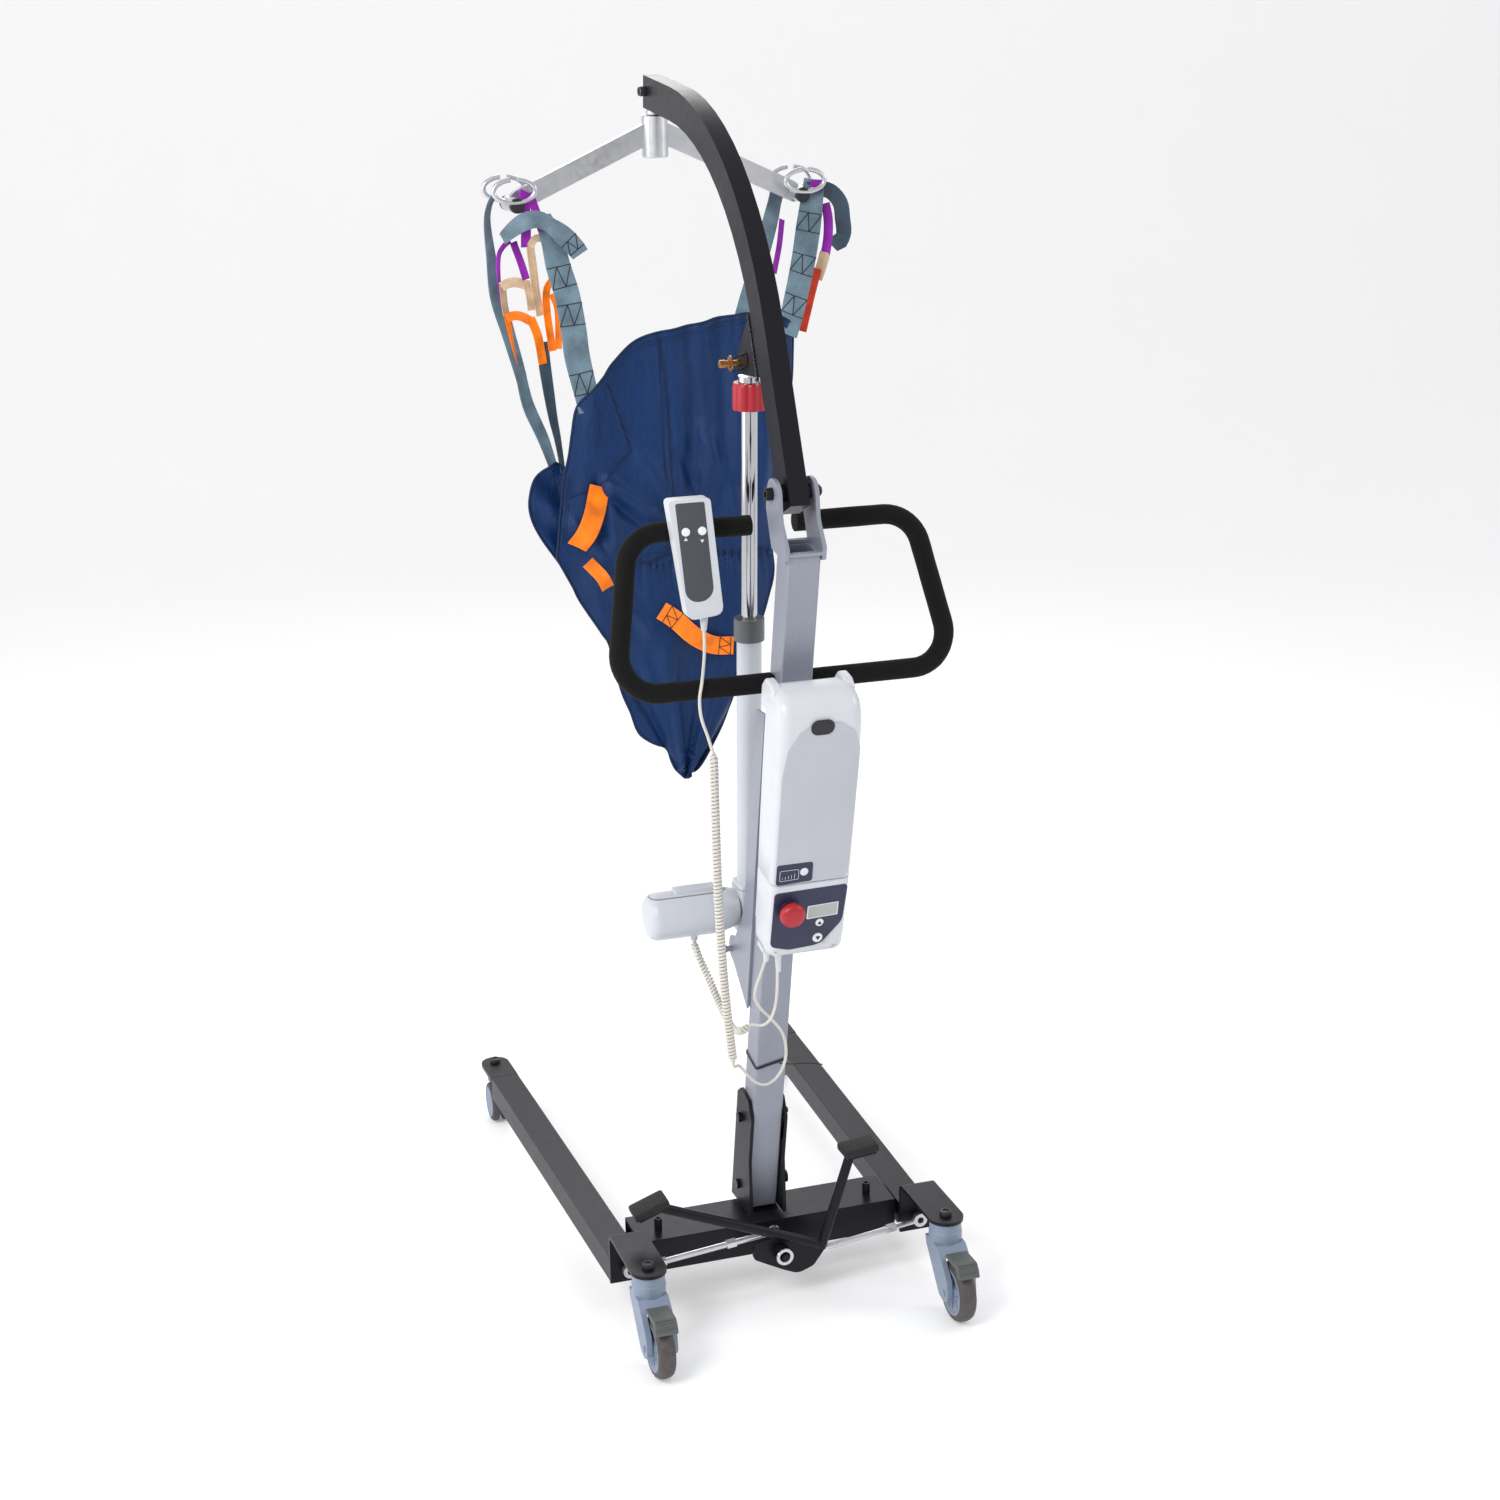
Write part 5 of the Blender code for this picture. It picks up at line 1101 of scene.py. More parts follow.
def motor():
    """Smooth motor shell with its domed end, top rib, seam ring and cable boot."""
    profile = [(0, 0.0245), (0.03, 0.0245), (0.033, 0.036), (0.0365, 0.05), (MOTOR_RADIUS, 0.06)]
    profile += [(MOTOR_RADIUS, 0.07), (MOTOR_RADIUS - 0.0006, 0.0704), (MOTOR_RADIUS - 0.0006, 0.0714)]
    profile += [
        (MOTOR_RADIUS, 0.0718), (MOTOR_RADIUS, 0.156), (MOTOR_RADIUS - 0.001, 0.162), (0.0345, 0.1682),
    ]
    profile += [(0.029, 0.1722), (0.02, 0.1744), (0.01, 0.1753), (0, 0.1755)]
    shell = lathe("motor_shell", profile, (0.0, -0.197, 0.645), (-1, 0, 0), ACTUATOR_SHELL, 72)
    ride(shell, "actuator", "white_plastic", "actuator_motor")
    outline = rounded([(-0.128, -0.208), (-0.058, -0.208), (-0.058, -0.186), (-0.128, -0.186)], 0.004)
    rib = plate("motor_top_rib", outline, 0.676, 0.6885, ACTUATOR_SHELL, None, 0.002)
    ride(rib, "actuator", "white_plastic")
    boot = [(0.006, 0.0), (0.006, 0.01), (0.0052, 0.0112), (0.0056, 0.0124), (0.0046, 0.014), (0.0, 0.014)]
    boot = lathe("motor_cable_boot", boot, (-0.095, -0.2, 0.612), (0, 0, -1), ACTUATOR_SHELL, 24)
    ride(boot, "actuator", "white_plastic")


def lowering_knob():
    """Red fluted knob at the top of the actuator's rod."""
    outline = []
    for i in range(144):
        angle = 2 * math.pi * i / 144
        reach = 0.0247 + 0.0013 * (abs(math.cos(4 * angle)) * 2 - 1)
        outline.append((reach * math.cos(angle), reach * math.sin(angle)))
    rows = (
        (-0.0205, 0.955), (-0.019, 0.985), (-0.017, 1.0), (0.016, 1.0), (0.0185, 0.985), (0.0203, 0.94),
        (0.0206, 0.6),
    )
    sections = [[(x * share, y * share, h) for x, y in outline] for h, share in rows]
    knob = loft("knob_grip", sections, FINISHES["red_plastic"], to_axis(KNOB_CENTRE, ACTUATOR_AXIS), 30.0)
    ride(knob, "knob", "red_plastic", "lowering_knob")


def spring_clip():
    """Wire clip that keeps the actuator's top bolt in its lug."""
    y, z = -0.231, 1.522
    loop = [(-0.03, y + 0.004, z - 0.011), (-0.027, y - 0.002, z + 0.008), (-0.016, y - 0.004, z + 0.012)]
    loop += [
        (-0.0156, y - 0.03, z + 0.019), (-0.0156, y - 0.034, z + 0.016), (-0.0156, y - 0.036, z + 0.004),
    ]
    loop += [(-0.0156, y - 0.032, z + 0.0005), (-0.016, y - 0.004, z - 0.01), (-0.03, y + 0.004, z - 0.011)]
    ride(
        tube(
            "spring_clip", even_points([Vector(p) for p in loop], 0.002), 0.001, FINISHES["black_steel"], 2
        ),
        "boom", "black_steel"
    )
    profile = [(0.0066, 0.029), (0.012, 0.029), (0.012, 0.0305), (0.0066, 0.0305), (0.0066, 0.029)]
    washer = lathe("clip_washer", profile, (0, y, z), (-1, 0, 0), FINISHES["brass_bolt"], 24)
    ride(washer, "boom", "brass_bolt")


def weld_bead():
    """The rough black weld along the boom's underside, either side of the lug."""
    slope = math.radians(24.1)
    shape_along = Vector((0, math.sin(slope), math.cos(slope)))
    start = Vector((0, -0.4012 - 0.0003, 1.3225)) + shape_along * 0.203
    for side, name in ((-1, "left"), (1, "right")):
        route = []
        for i in range(34):
            place = start + shape_along * (i * 0.0031) + Vector((side * 0.0152, 0.0045, -0.0021))
            route.append(place + Vector((side * 0.001 * math.sin(i * 2.7), 0.0006 * math.sin(i * 1.9), 0)))
        bead = tube(f"{name}_weld_bead", route, 0.0026, FINISHES["black_steel"], 2)
        for i, point in enumerate(bead.data.splines[0].points):
            point.radius = 1.0 + 0.28 * math.sin(i * 2.2)
        ride(bead, "boom", "dark_paint")


def dark_fasteners():
    """Blackened bolt heads over the plain ones of the frame, and the pedal's chrome boss ring."""
    dome = [
        (0.0098, 0.0), (0.0098, 0.0052), (0.0086, 0.0078), (0.0052, 0.0084), (0.0047, 0.0067), (0, 0.0067),
    ]
    for side, name in ((-1, "left"), (1, "right")):
        for end, stem in (("rear", REAR_STEM), ("front", FRONT_STEM)):
            place = (side * stem[0], stem[1], stem[2])
            cap = lathe(f"{name}_{end}_stem_bolt", dome, place, (0, 0, 1), BLACK_PLASTIC, 24)
            ride(cap, f"{name}_{end}_caster", "caster_grey")
    ring = [
        (0.007, 0.0002), (0.0142, 0.0002), (0.0146, 0.0014), (0.014, 0.003), (0.01, 0.0034),
        (0.0084, 0.0026),
    ]
    ring += [(0.007, 0.0004)]
    ride(
        lathe("pedal_boss_ring", ring, (0, -0.3555, 0.092), (0, -1, 0), FINISHES["chrome"], 36), "pedal",
        "dark_paint",
    )
    head = [
        (0.008, 0.0152), (0.008, 0.0232), (0.0068, 0.0262), (0.0042, 0.0264), (0.0038, 0.0254), (0, 0.0254),
    ]
    for way, name in ((-1, "left"), (1, "right")):
        cap = lathe(f"{name}_tip_bolt", head, (0, 0.238, 1.9), (way, 0, 0), BLACK_PLASTIC, 24)
        ride(cap, "hanger", "alloy")


def cable_tie():
    """Black tie round the mast below the control box, with its tail."""
    half = 0.0262
    loop = rounded([(-half, -half), (half, -half), (half, half), (-half, half)], 0.005, 4)
    height = 0.423
    shape = bmesh.new()
    rings = []
    for x, y in loop:
        lean = 0.006 * x / half
        rings.append([shape.verts.new((x, y, height + lean + dz)) for dz in (-0.0021, 0.0021)])
    for k in range(len(rings)):
        first, second = rings[k], rings[(k + 1) % len(rings)]
        shape.faces.new((first[0], second[0], second[1], first[1]))
    band = from_bmesh("cable_tie", shape, BLACK_PLASTIC, MAST)
    modify(band, "SOLIDIFY", thickness=0.0011, offset=1.0)
    ride(band, "frame", "black_steel")
    tail = [MAST @ Vector((0.012, -0.0285, height)), MAST @ Vector((0.03, -0.038, height + 0.002))]
    tail += [MAST @ Vector((0.052, -0.044, height + 0.004)), MAST @ Vector((0.078, -0.05, height + 0.001))]
    ride(tube("cable_tie_tail", smooth_path(tail, 0.006), 0.0011, BLACK_PLASTIC, 2), "frame", "black_steel")


# ---------------------------------------------------------------- spreader hooks


def hooks():
    """Two open oval wire loops at each end of the spreader, with dark end caps."""
    for side, name in ((-1, "left"), (1, "right")):
        x = side * HOOK_X
        loops = []
        for offset in (0.0365, -0.0365):
            route = []
            for i in range(49):
                angle = math.radians(100 + 340 * i / 48)
                wide = 0.034 * math.cos(angle)
                high = 0.0185 * math.sin(angle)
                route.append((x + side * wide, TIP_Y + offset, HOOK_Z + high))
            loops.append(route)
        low = HOOK_Z - 0.0155
        loops.append([(side * 0.262, TIP_Y - 0.0365, low), (side * 0.262, TIP_Y + 0.0365, low)])
        wire = tube(f"{name}_hook_wire", loops, 0.004, FINISHES["alloy"], 5)
        ride(wire, "spreader", "alloy", f"{name}_hook")
        for offset, way in ((0.0305, 1), (-0.0305, -1)):
            profile = [(0, 0), (0.0122, 0), (0.0124, 0.002), (0.0122, 0.0075), (0.0108, 0.0092), (0, 0.0095)]
            centre = (side * 0.243, TIP_Y + offset, 1.729)
            end = "front" if way > 0 else "rear"
            cap = lathe(f"{name}_{end}_tube_cap", profile, centre, (0, way, 0), BLACK_PLASTIC, 32)
            ride(cap, "spreader", "alloy")


# ---------------------------------------------------------------- sling


SLING_Y = 0.118
PANEL_EDGES = (
    (
        (-0.13, 1.46), (-0.112, 1.484), (-0.07, 1.517), (0.003, 1.532), (0.099, 1.548), (0.173, 1.54),
        (0.2, 1.527),
    ),
    (
        (0.2, 1.527), (0.204, 1.51), (0.201, 1.451), (0.193, 1.4), (0.18, 1.32), (0.16, 1.245),
        (0.159, 1.167), (0.157, 1.108), (0.142, 1.061), (0.113, 0.996), (0.087, 0.958), (0.073, 0.894),
        (0.061, 0.857), (0.029, 0.804), (0.008, 0.779), (-0.011, 0.769),
    ),
    (
        (-0.011, 0.769), (-0.029, 0.79), (-0.04, 0.822), (-0.074, 0.843), (-0.092, 0.86), (-0.104, 0.895),
        (-0.119, 0.936), (-0.134, 1.01), (-0.147, 1.035), (-0.178, 1.088), (-0.19, 1.116), (-0.214, 1.163),
    ),
    (
        (-0.214, 1.163), (-0.204, 1.239), (-0.197, 1.294), (-0.189, 1.331), (-0.183, 1.37), (-0.174, 1.413),
        (-0.149, 1.439), (-0.13, 1.46),
    ),
)
FLAP_EDGE = (
    (-0.205, 1.318), (-0.231, 1.302), (-0.248, 1.279), (-0.248, 1.232), (-0.234, 1.195), (-0.203, 1.147),
    (-0.172, 1.1), (-0.158, 1.12), (-0.165, 1.2), (-0.17, 1.29), (-0.186, 1.306), (-0.205, 1.318),
)


def ease(low, high, value):
    t = min(1.0, max(0.0, (value - low) / (high - low)))
    return t * t * (3 - 2 * t)


def ridge(x, z, start, end, width):
    """1 on the line from start to end, falling off smoothly over width."""
    run = Vector(end) - Vector(start)
    place = Vector((x, z)) - Vector(start)
    along = place.dot(run) / run.length_squared
    away = abs(place.x * run.y - place.y * run.x) / run.length
    window = ease(-0.12, 0.15, along) * ease(1.15, 0.8, along) if along < 1.2 else 0.0
    return math.exp(-((away / width) ** 2)) * window


CREASES = (
    ((-0.135, 1.29), (-0.045, 1.222), 0.011, -0.0075), ((-0.13, 1.262), (-0.062, 1.2), 0.009, 0.005),
    ((-0.126, 1.29), (-0.118, 1.165), 0.01, -0.0055), ((-0.145, 1.3), (-0.14, 1.18), 0.009, 0.0045),
    ((-0.08, 1.34), (0.01, 1.215), 0.012, -0.0045), ((-0.01, 1.33), (0.07, 1.18), 0.013, 0.0045),
    ((0.03, 1.37), (0.11, 1.19), 0.013, -0.005), ((-0.06, 1.215), (0.06, 1.2), 0.009, 0.0035),
    ((-0.19, 1.23), (-0.13, 1.14), 0.009, -0.005), ((-0.175, 1.2), (-0.105, 1.095), 0.009, 0.0045),
    ((-0.15, 1.15), (-0.06, 1.02), 0.011, -0.006), ((0.12, 1.48), (0.15, 1.3), 0.016, -0.005),
    ((0.165, 1.5), (0.175, 1.33), 0.012, 0.005), ((-0.035, 1.5), (-0.028, 1.25), 0.0025, 0.0022),
    ((-0.124, 1.449), (-0.087, 1.337), 0.003, 0.0025),
)


def drape(x, z):
    """How far forward the sling's cloth lies at (x, z)."""
    y = SLING_Y
    y += 0.026 * ease(0.1, 0.21, x) + 0.022 * ease(-0.13, -0.21, x)
    y += 0.011 * noise.noise(Vector((x * 9, z * 5, 0.3))) + 0.0036 * noise.noise(
        Vector((x * 26, z * 13, 4.1))
    )
    upper = ease(1.18, 1.3, z) * ease(-0.06, 0.02, x)
    y += 0.0058 * upper * math.sin(x * 128 + 1.6 * noise.noise(Vector((x * 4, z * 4, 8.0))))
    for start, end, width, depth in CREASES:
        y += 1.7 * depth * ridge(x, z, start, end, width)
    seam = 1.153 + 0.006 * math.sin(x * 38)
    near = seam - z
    phase = x * 480 + 2.4 * noise.noise(Vector((x * 30, z * 12, 2.0)))
    pull = ease(-0.1, -0.07, x)
    if near > 0:
        y += pull * (0.0046 * math.exp(-near / 0.03) * math.sin(phase) - 0.007 * ease(0.0, 0.035, near))
    else:
        y += pull * 0.0024 * math.exp(near / 0.012) * math.sin(phase)
    y -= 0.014 * math.exp(-(((z - 1.045) / 0.085) ** 2) - ((x - 0.015) / 0.1) ** 2)
    low = ease(1.1, 0.93, z)
    angle = math.atan2(x + 0.011, z - 0.755)
    y += 0.0075 * low * math.sin(angle * 13 + 1.4 * noise.noise(Vector((x * 9, z * 7, 6.0))))
    y += 0.003 * low * math.sin(angle * 31 + 2.0)
    return y


def inside(x, z, outline):
    odd = False
    for (x1, z1), (x2, z2) in zip(outline, outline[1:] + outline[:1]):
        if (z1 > z) != (z2 > z) and x < (x2 - x1) * (z - z1) / (z2 - z1) + x1:
            odd = not odd
    return odd


def outline_of(edges, spacing):
    """A closed outline, smooth along each edge and sharp where two edges meet."""
    found = []
    for edge in edges:
        found += [(p.x, p.z) for p in smooth_path([(x, 0.0, z) for x, z in edge], spacing)[:-1]]
    return found


def cloth_sheet(name, outline, spacing, height, thickness, material):
    """A sheet with this outline in XZ, lying where height(x, z) puts it, and its flat area."""
    left, right = min(x for x, _ in outline), max(x for x, _ in outline)
    low, high = min(z for _, z in outline), max(z for _, z in outline)
    points = [Vector(p) for p in outline]
    row = 0
    z = low + spacing
    while z < high:
        x = left + spacing * (0.5 + 0.5 * (row % 2))
        while x < right:
            reach = spacing * 0.55
            if all(
                inside(x + dx, z + dz, outline)
                for dx, dz in ((reach, 0), (-reach, 0), (0, reach), (0, -reach))
            ):
                points.append(Vector((x, z)))
            x += spacing
        z += spacing * 0.87
        row += 1
    loop = list(range(len(outline)))
    found = geometry.delaunay_2d_cdt(points, [], [loop], 1, 1e-7)
    shape = bmesh.new()
    corners = [shape.verts.new((p.x, height(p.x, p.y), p.y)) for p in found[0]]
    for face in found[2]:
        shape.faces.new([corners[k] for k in face])
    bmesh.ops.recalc_face_normals(shape, faces=shape.faces)
    shape.normal_update()
    if sum(face.normal.y for face in shape.faces) > 0:
        bmesh.ops.reverse_faces(shape, faces=shape.faces)
    area = sum(face.calc_area() for face in shape.faces)
    mesh = bpy.data.meshes.new(name)
    shape.to_mesh(mesh)
    shape.free()
    obj = shown(name, mesh, material, 80.0)
    modify(obj, "SOLIDIFY", thickness=thickness, offset=0.0, use_even_offset=False)
    return apply_modifiers(obj), area


def on_panel(route, spacing=0.006, out=0.0014):
    """A line given in (x, z), laid on the user's side of the sling's panel."""
    fine = smooth_path([(x, 0.0, z) for x, z in route], spacing)
    return [Vector((p.x, drape(p.x, p.z) - out, p.z)) for p in fine]


def dashes(route, length=0.0042, gap=0.0022):
    """Short threads along a route."""
    fine = even_points(route, length + gap)
    return [[a, a.lerp(b, length / (length + gap))] for a, b in zip(fine, fine[1:])]


def sling_panel():
    outline = outline_of(PANEL_EDGES, 0.005)
    panel, area = cloth_sheet(
        "sling_panel", outline, CLOTH_SPACING, drape, CLOTH_THICKNESS, FINISHES["navy_fabric"],
    )
    ride(panel, "spreader", "navy_fabric", "sling_body")
    closed = [Vector((x, drape(x, z), z)) for x, z in outline]
    hem = tube("sling_panel_hem", closed, HEM_RADIUS, HEM, 3, True)
    ride(hem, "spreader", "navy_fabric")
    seams = [
        on_panel([(-0.037, 1.519), (-0.029, 1.46), (-0.023, 1.355), (-0.024, 1.221), (-0.03, 1.165)]),
        on_panel([(-0.125, 1.449), (-0.11, 1.409), (-0.087, 1.337)]),
        on_panel([(-0.087, 1.337), (-0.113, 1.313), (-0.141, 1.284), (-0.19, 1.262)]),
        on_panel(
            [
                (-0.079, 1.156), (-0.063, 1.147), (-0.027, 1.16), (0.057, 1.153), (0.089, 1.154),
                (0.15, 1.152),
            ]
        ),
    ]
    piping = tube("sling_piping", seams, 0.0016, HEM, 3)
    ride(piping, "spreader", "navy_fabric")
    lines = [
        [(-0.033, 1.515), (-0.025, 1.46), (-0.019, 1.355), (-0.02, 1.221)],
        [(-0.121, 1.447), (-0.106, 1.409), (-0.083, 1.338)],
        [(-0.118, 1.472), (-0.076, 1.505), (-0.037, 1.515), (0.034, 1.527), (0.098, 1.54), (0.168, 1.53)],
        [(-0.116, 1.467), (-0.076, 1.499), (-0.037, 1.509), (0.034, 1.521), (0.098, 1.534), (0.168, 1.524)],
        [(-0.19, 1.295), (-0.197, 1.239), (-0.205, 1.182)],
        [(-0.186, 1.295), (-0.193, 1.239), (-0.2, 1.186)],
        [
            (-0.146, 1.424), (-0.159, 1.371), (-0.157, 1.349), (-0.141, 1.348), (-0.14, 1.389),
            (-0.146, 1.424),
        ],
        [(-0.143, 1.412), (-0.152, 1.371), (-0.151, 1.355), (-0.145, 1.354), (-0.144, 1.389)],
        [(-0.076, 1.16), (-0.027, 1.165), (0.057, 1.158), (0.089, 1.159), (0.15, 1.157)],
        [(0.195, 1.5), (0.194, 1.451), (0.186, 1.4), (0.173, 1.32)],
    ]
    threads = [dash for line in lines for dash in dashes(on_panel(line, 0.003, 0.0017))]
    stitching = tube("sling_stitching", threads, STITCH_RADIUS, NAVY_THREAD, 1)
    ride(stitching, "spreader", "navy_fabric")


def sling_flap():
    """The leg flap beside the panel's left edge."""
    outline = outline_of((FLAP_EDGE[:7], FLAP_EDGE[6:]), 0.005)

    def height(x, z):
        bow = 0.01 * noise.noise(Vector((x * 18, z * 10, 3.0)))
        return 0.163 + bow - 0.025 * ease(-0.2, -0.165, x) + 0.004 * math.sin((x + z) * 90)

    flap, area = cloth_sheet(
        "sling_leg_flap", outline, CLOTH_SPACING, height, CLOTH_THICKNESS, FINISHES["navy_fabric"],
    )
    ride(flap, "spreader", "navy_fabric")
    closed = [Vector((x, height(x, z), z)) for x, z in outline]
    hem = tube("sling_flap_hem", closed, HEM_RADIUS, HEM, 3, True)
    ride(hem, "spreader", "navy_fabric")
    box = [
        (-0.212, 1.305), (-0.222, 1.252), (-0.197, 1.243), (-0.192, 1.297), (-0.212, 1.305),
        (-0.197, 1.243),
    ]
    box += [(-0.222, 1.252), (-0.192, 1.297)]
    line = even_points([Vector((x, height(x, z) - 0.0016, z)) for x, z in box], 0.004)
    line = [Vector((p.x, height(p.x, p.z) - 0.0018, p.z)) for p in line]
    cross = tube("sling_flap_stitching", dashes(line), STITCH_RADIUS, NAVY_THREAD, 1)
    ride(cross, "spreader", "navy_fabric")


def strap_stitches(name, path, width, places, length):
    """Black zigzag stitching between two rows, centred at these shares of a strap's length."""
    frames = strap_frames(path, width)
    routes = []
    for place in places:
        middle = place * (len(frames) - 1)
        low, high = middle - length / 2 / STRAP_STEP, middle + length / 2 / STRAP_STEP
        for at in (low, high):
            routes.append([on_strap(frames, at, k / 4 - 1) for k in range(9)])
        for first, second in (
            ((low, -1), (high, -0.1)),
            ((high, -0.1), (low, 0.15)),
            ((low, 0.15), (high, 1)),
        ):
            stroke = []
            for k in range(9):
                at = first[0] + (second[0] - first[0]) * k / 8
                stroke.append(on_strap(frames, at, first[1] + (second[1] - first[1]) * k / 8))
            routes.append(stroke)
    ride(tube(name, routes, 0.00065, THREAD, 1), "spreader", "webbing")


def on_strap(frames, at, u):
    k = max(0, min(int(at), len(frames) - 2))
    share = at - k
    points = []
    for point, _tangent, lie, rise, wide in frames[k:k + 2]:
        points.append(point + lie * (wide * u) + rise * (0.0012 * (1 - u * u) - 0.0012))
    return points[0].lerp(points[1], share)


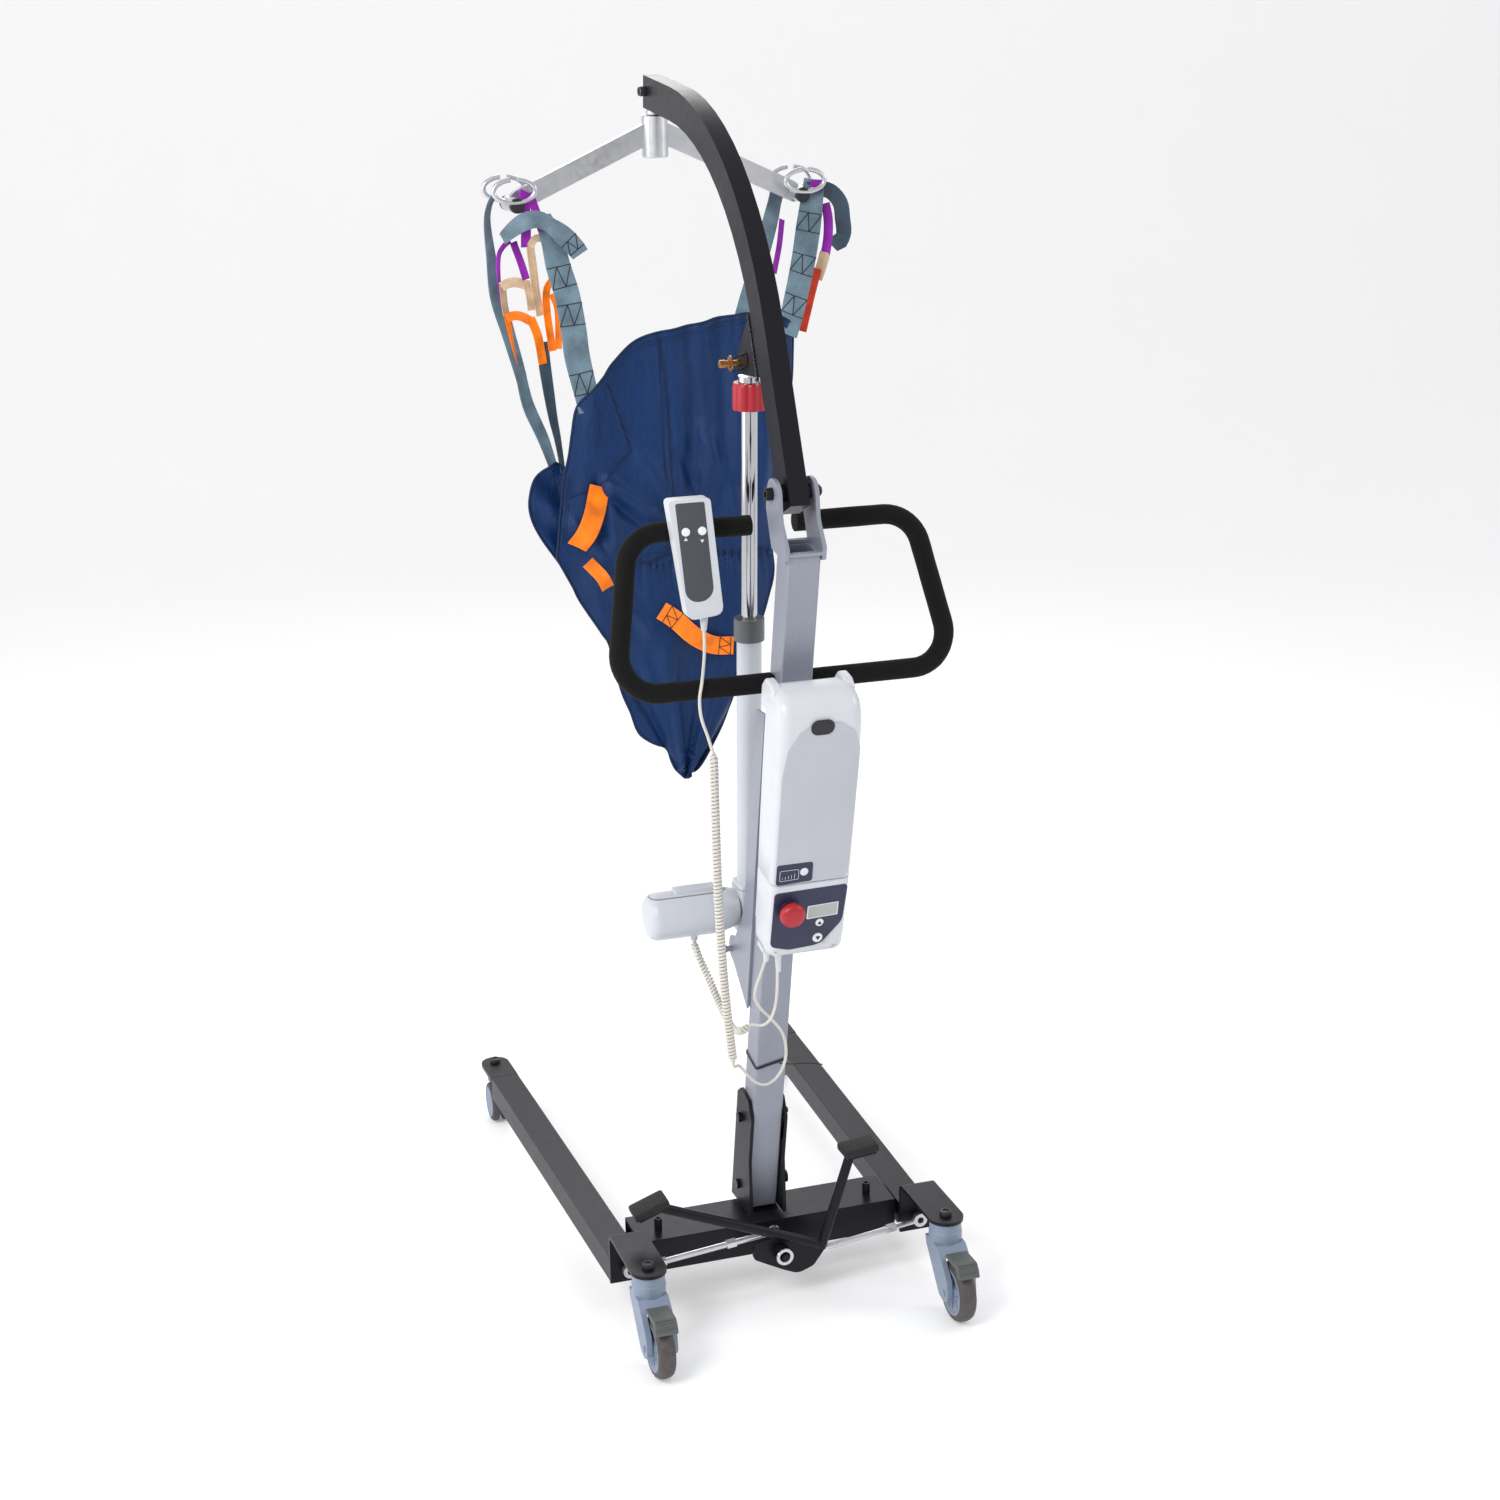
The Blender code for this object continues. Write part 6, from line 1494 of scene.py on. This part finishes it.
def straps():
    """The sling's straps, each hung on its hook, and the coloured length loops sewn to them."""
    grey = FINISHES["webbing"]
    wide = (
        (
            "left_outer_strap", grey, 0.023, "left",
            [
                (-0.272, 0.24, 1.742, 50, 0.7), (-0.281, 0.235, 1.728, 45, 0.9), (-0.287, 0.229, 1.701, 35),
                (-0.284, 0.224, 1.646, 12), (-0.279, 0.218, 1.583, 5), (-0.264, 0.212, 1.526, 15),
                (-0.248, 0.207, 1.461, 30), (-0.238, 0.201, 1.409, 20), (-0.218, 0.19, 1.355, 15, 0.9),
                (-0.206, 0.17, 1.306, 20, 0.7),
            ],
        ),
        (
            "left_inner_strap", DARK_TAPE, 0.021, "left",
            [
                (-0.209, 0.206, 1.51, 5), (-0.207, 0.205, 1.476, 8), (-0.204, 0.201, 1.441, 15, 0.95),
                (-0.199, 0.194, 1.389, 25, 0.85), (-0.195, 0.18, 1.349, 35, 0.7),
                (-0.192, 0.165, 1.3, 40, 0.6),
            ],
        ),
        (
            "left_shoulder_strap", grey, 0.042, "left",
            [
                (-0.198, 0.225, 1.712, 20, 0.8), (-0.189, 0.2, 1.678, 10, 0.95), (-0.183, 0.186, 1.633, 4),
                (-0.173, 0.172, 1.586, 0), (-0.168, 0.158, 1.532, -4), (-0.167, 0.144, 1.49, -6),
                (-0.158, 0.128, 1.431, -8, 0.95), (-0.154, 0.122, 1.405, -8, 0.9),
            ],
        ),
        (
            "left_folded_loop", grey, 0.03, "left",
            [
                (-0.269, 0.205, 1.678, 62, 0.9), (-0.254, 0.198, 1.692, 50), (-0.236, 0.192, 1.704, 30),
                (-0.214, 0.188, 1.708, 0, 0.9), (-0.192, 0.19, 1.697, -28, 0.9),
                (-0.17, 0.19, 1.679, -12, 1.05), (-0.152, 0.186, 1.659, 8, 1.1),
                (-0.146, 0.184, 1.65, 14, 1.05),
            ],
        ),
        (
            "right_shoulder_strap", grey, 0.042, "right",
            [
                (0.274, 0.232, 1.752, -30, 0.8), (0.266, 0.215, 1.736, -20, 0.9), (0.249, 0.19, 1.683, -10),
                (0.233, 0.172, 1.628, -4), (0.217, 0.156, 1.583, 0), (0.199, 0.14, 1.537, 4),
                (0.188, 0.133, 1.51, 4, 0.95),
            ],
        ),
        (
            "right_curled_loop", DARK_TAPE, 0.026, "right",
            [
                (0.258, 0.222, 1.738, 20, 0.8), (0.276, 0.215, 1.738, 10), (0.298, 0.214, 1.731, 0),
                (0.314, 0.214, 1.712, -10), (0.318, 0.214, 1.686, -15), (0.32, 0.214, 1.662, -15),
                (0.311, 0.213, 1.644, -10, 0.9), (0.301, 0.21, 1.66, 0, 0.8),
            ],
        ),
        (
            "right_inner_strap", grey, 0.03, "right",
            [
                (0.222, 0.265, 1.744, 10, 0.9), (0.217, 0.262, 1.726, 10), (0.194, 0.223, 1.691, 5),
                (0.157, 0.182, 1.622, 0), (0.117, 0.142, 1.549, 0), (0.104, 0.134, 1.52, 0, 0.9),
            ],
        ),
    )
    made = {"left": [], "right": []}
    paths = {}
    for name, material, width, side, path in wide:
        strap = ribbon(name, path, width, material)
        paths[name] = (path, width)
        made[side].append(ride(strap, "spreader", "webbing"))
    loops = (
        (
            "purple_loop_a", PURPLE, "left", 0.017,
            [
                (-0.228, 0.207, 1.752, 20), (-0.231, 0.205, 1.742, 15), (-0.229, 0.203, 1.718, 8),
                (-0.231, 0.203, 1.663, 5),
            ],
        ),
        (
            "purple_loop_b", PURPLE, "left", 0.015,
            [
                (-0.221, 0.212, 1.748, 20), (-0.216, 0.209, 1.735, 15), (-0.209, 0.206, 1.712, 10),
                (-0.194, 0.203, 1.671, 5),
            ],
        ),
        (
            "purple_loop_c", PURPLE, "left", 0.013,
            [
                (-0.25, 0.209, 1.672, 15), (-0.247, 0.209, 1.662, 15), (-0.24, 0.207, 1.641, 10),
                (-0.232, 0.205, 1.612, 8),
            ],
        ),
        (
            "purple_loop_d", PURPLE, "left", 0.011,
            [
                (-0.254, 0.215, 1.674, 30), (-0.266, 0.215, 1.664, 35), (-0.274, 0.215, 1.648, 45),
                (-0.275, 0.214, 1.608, 50), (-0.272, 0.214, 1.572, 50),
            ],
        ),
        (
            "beige_loop_a", BEIGE, "left", 0.016,
            [
                (-0.273, 0.209, 1.601, 0), (-0.262, 0.207, 1.607, 0), (-0.248, 0.206, 1.608, 0),
                (-0.228, 0.205, 1.602, 0),
            ],
        ),
        (
            "beige_loop_b", BEIGE, "left", 0.013,
            [(-0.27, 0.212, 1.604, 20), (-0.268, 0.213, 1.574, 20), (-0.265, 0.213, 1.554, 20)],
        ),
        (
            "beige_loop_c", BEIGE, "left", 0.014,
            [
                (-0.224, 0.203, 1.665, 10), (-0.22, 0.203, 1.624, 5), (-0.217, 0.203, 1.589, 5),
                (-0.211, 0.203, 1.553, 5),
            ],
        ),
        (
            "beige_loop_d", BEIGE, "left", 0.012,
            [
                (-0.225, 0.202, 1.664, 20), (-0.216, 0.202, 1.676, 10), (-0.204, 0.202, 1.676, 0),
                (-0.194, 0.201, 1.661, -10), (-0.188, 0.199, 1.618, -10), (-0.189, 0.198, 1.6, -10),
            ],
        ),
        (
            "beige_loop_e", BEIGE, "left", 0.013,
            [(-0.232, 0.205, 1.605, 10), (-0.227, 0.205, 1.581, 10), (-0.226, 0.205, 1.562, 10)],
        ),
        (
            "orange_loop_a", ORANGE, "left", 0.015,
            [
                (-0.267, 0.208, 1.55, 0), (-0.256, 0.206, 1.555, 0), (-0.242, 0.205, 1.553, 0),
                (-0.226, 0.204, 1.544, 0),
            ],
        ),
        (
            "orange_loop_b", ORANGE, "left", 0.013,
            [(-0.264, 0.213, 1.553, 20), (-0.255, 0.212, 1.512, 20), (-0.242, 0.21, 1.455, 20)],
        ),
        (
            "orange_loop_c", ORANGE, "left", 0.015,
            [(-0.228, 0.203, 1.55, 5), (-0.217, 0.203, 1.52, 5), (-0.21, 0.203, 1.474, 5)],
        ),
        (
            "orange_loop_d", ORANGE, "left", 0.013,
            [
                (-0.19, 0.196, 1.612, 10), (-0.201, 0.198, 1.593, 10), (-0.201, 0.198, 1.555, 5),
                (-0.195, 0.194, 1.496, 0),
            ],
        ),
        (
            "orange_loop_e", ORANGE, "left", 0.011,
            [(-0.193, 0.196, 1.588, -10), (-0.185, 0.192, 1.562, -10), (-0.187, 0.186, 1.5, -10)],
        ),
        (
            "right_purple_edge", PURPLE, "right", 0.016,
            [
                (0.283, 0.204, 1.714, -30), (0.286, 0.198, 1.69, -30), (0.285, 0.196, 1.66, -30),
                (0.278, 0.19, 1.631, -30),
            ],
        ),
        (
            "right_beige_edge", BEIGE, "right", 0.018,
            [(0.278, 0.19, 1.635, -20), (0.27, 0.186, 1.614, -20), (0.259, 0.18, 1.592, -20)],
        ),
        (
            "right_red_edge", RED, "right", 0.014,
            [(0.262, 0.184, 1.609, -15), (0.244, 0.168, 1.567, -15), (0.222, 0.15, 1.511, -15)],
        ),
        (
            "right_purple_top", PURPLE, "right", 0.022,
            [(0.273, 0.214, 1.752, -30), (0.271, 0.211, 1.744, -30), (0.269, 0.209, 1.735, -30)],
        ),
        (
            "right_purple_inner", PURPLE, "right", 0.01,
            [(0.217, 0.233, 1.688, 0), (0.2, 0.2, 1.648, 0), (0.18, 0.17, 1.607, 0)],
        ),
    )
    for name, material, side, width, path in loops:
        made[side].append(ride(ribbon(name, path, width, material, 0.0014, 0.0008), "spreader", "webbing"))
    for name, strap, places, length in (
        ("left_strap_sewing", "left_shoulder_strap", (0.33, 0.52, 0.86), 0.034),
        ("right_strap_sewing", "right_shoulder_strap", (0.3, 0.56, 0.82), 0.032),
        ("left_loop_sewing", "left_folded_loop", (0.88,), 0.02),
    ):
        strap_stitches(name, *paths[strap], places, length)
    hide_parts("left_straps")
    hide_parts("right_straps")
    flat_strap(made["left"])
    flat_strap(made["right"])


def flat_strap(pieces):
    """Reads each strap's vertex positions into a list and does nothing more with them."""
    for piece in pieces:
        mesh = piece.data
        box = [Vector(v.co) for v in mesh.vertices]


def sling_handles():
    """Three orange webbing grips sewn to the sling."""
    lie = (
        (
            "orange_side_handle", 0.035,
            [(-0.141, 1.281), (-0.145, 1.268), (-0.155, 1.237), (-0.168, 1.207), (-0.182, 1.181)], 0.01,
        ),
        ("orange_lower_handle", 0.022, [(-0.166, 1.156), (-0.148, 1.134), (-0.137, 1.113)], 0.006),
        (
            "orange_back_handle", 0.031,
            [(-0.05, 1.07), (-0.028, 1.054), (0.003, 1.024), (0.04, 1.002), (0.076, 0.998)], 0.01,
        ),
    )
    for name, width, route, out in lie:
        path = []
        for k, (x, z) in enumerate(route):
            bow = math.sin(math.pi * k / (len(route) - 1)) * out
            path.append((x, drape(x, z) - 0.006 - bow, z, 0, 1))
        handle = ribbon(name, path, width, ORANGE, 0.002)
        ride(handle, "spreader", "webbing")
        if name == "orange_back_handle":
            strap_stitches("back_handle_sewing", path, width, (0.14, 0.9), 0.02)


# ---------------------------------------------------------------- the whole object


camera()
studio()
dress_cad()
foam_grips()
battery()
housing()
handset()
wheels()
brake_tabs()
motor()
lowering_knob()
spring_clip()
weld_bead()
dark_fasteners()
cable_tie()
hooks()
cords()
sling_panel()
sling_flap()
straps()
sling_handles()
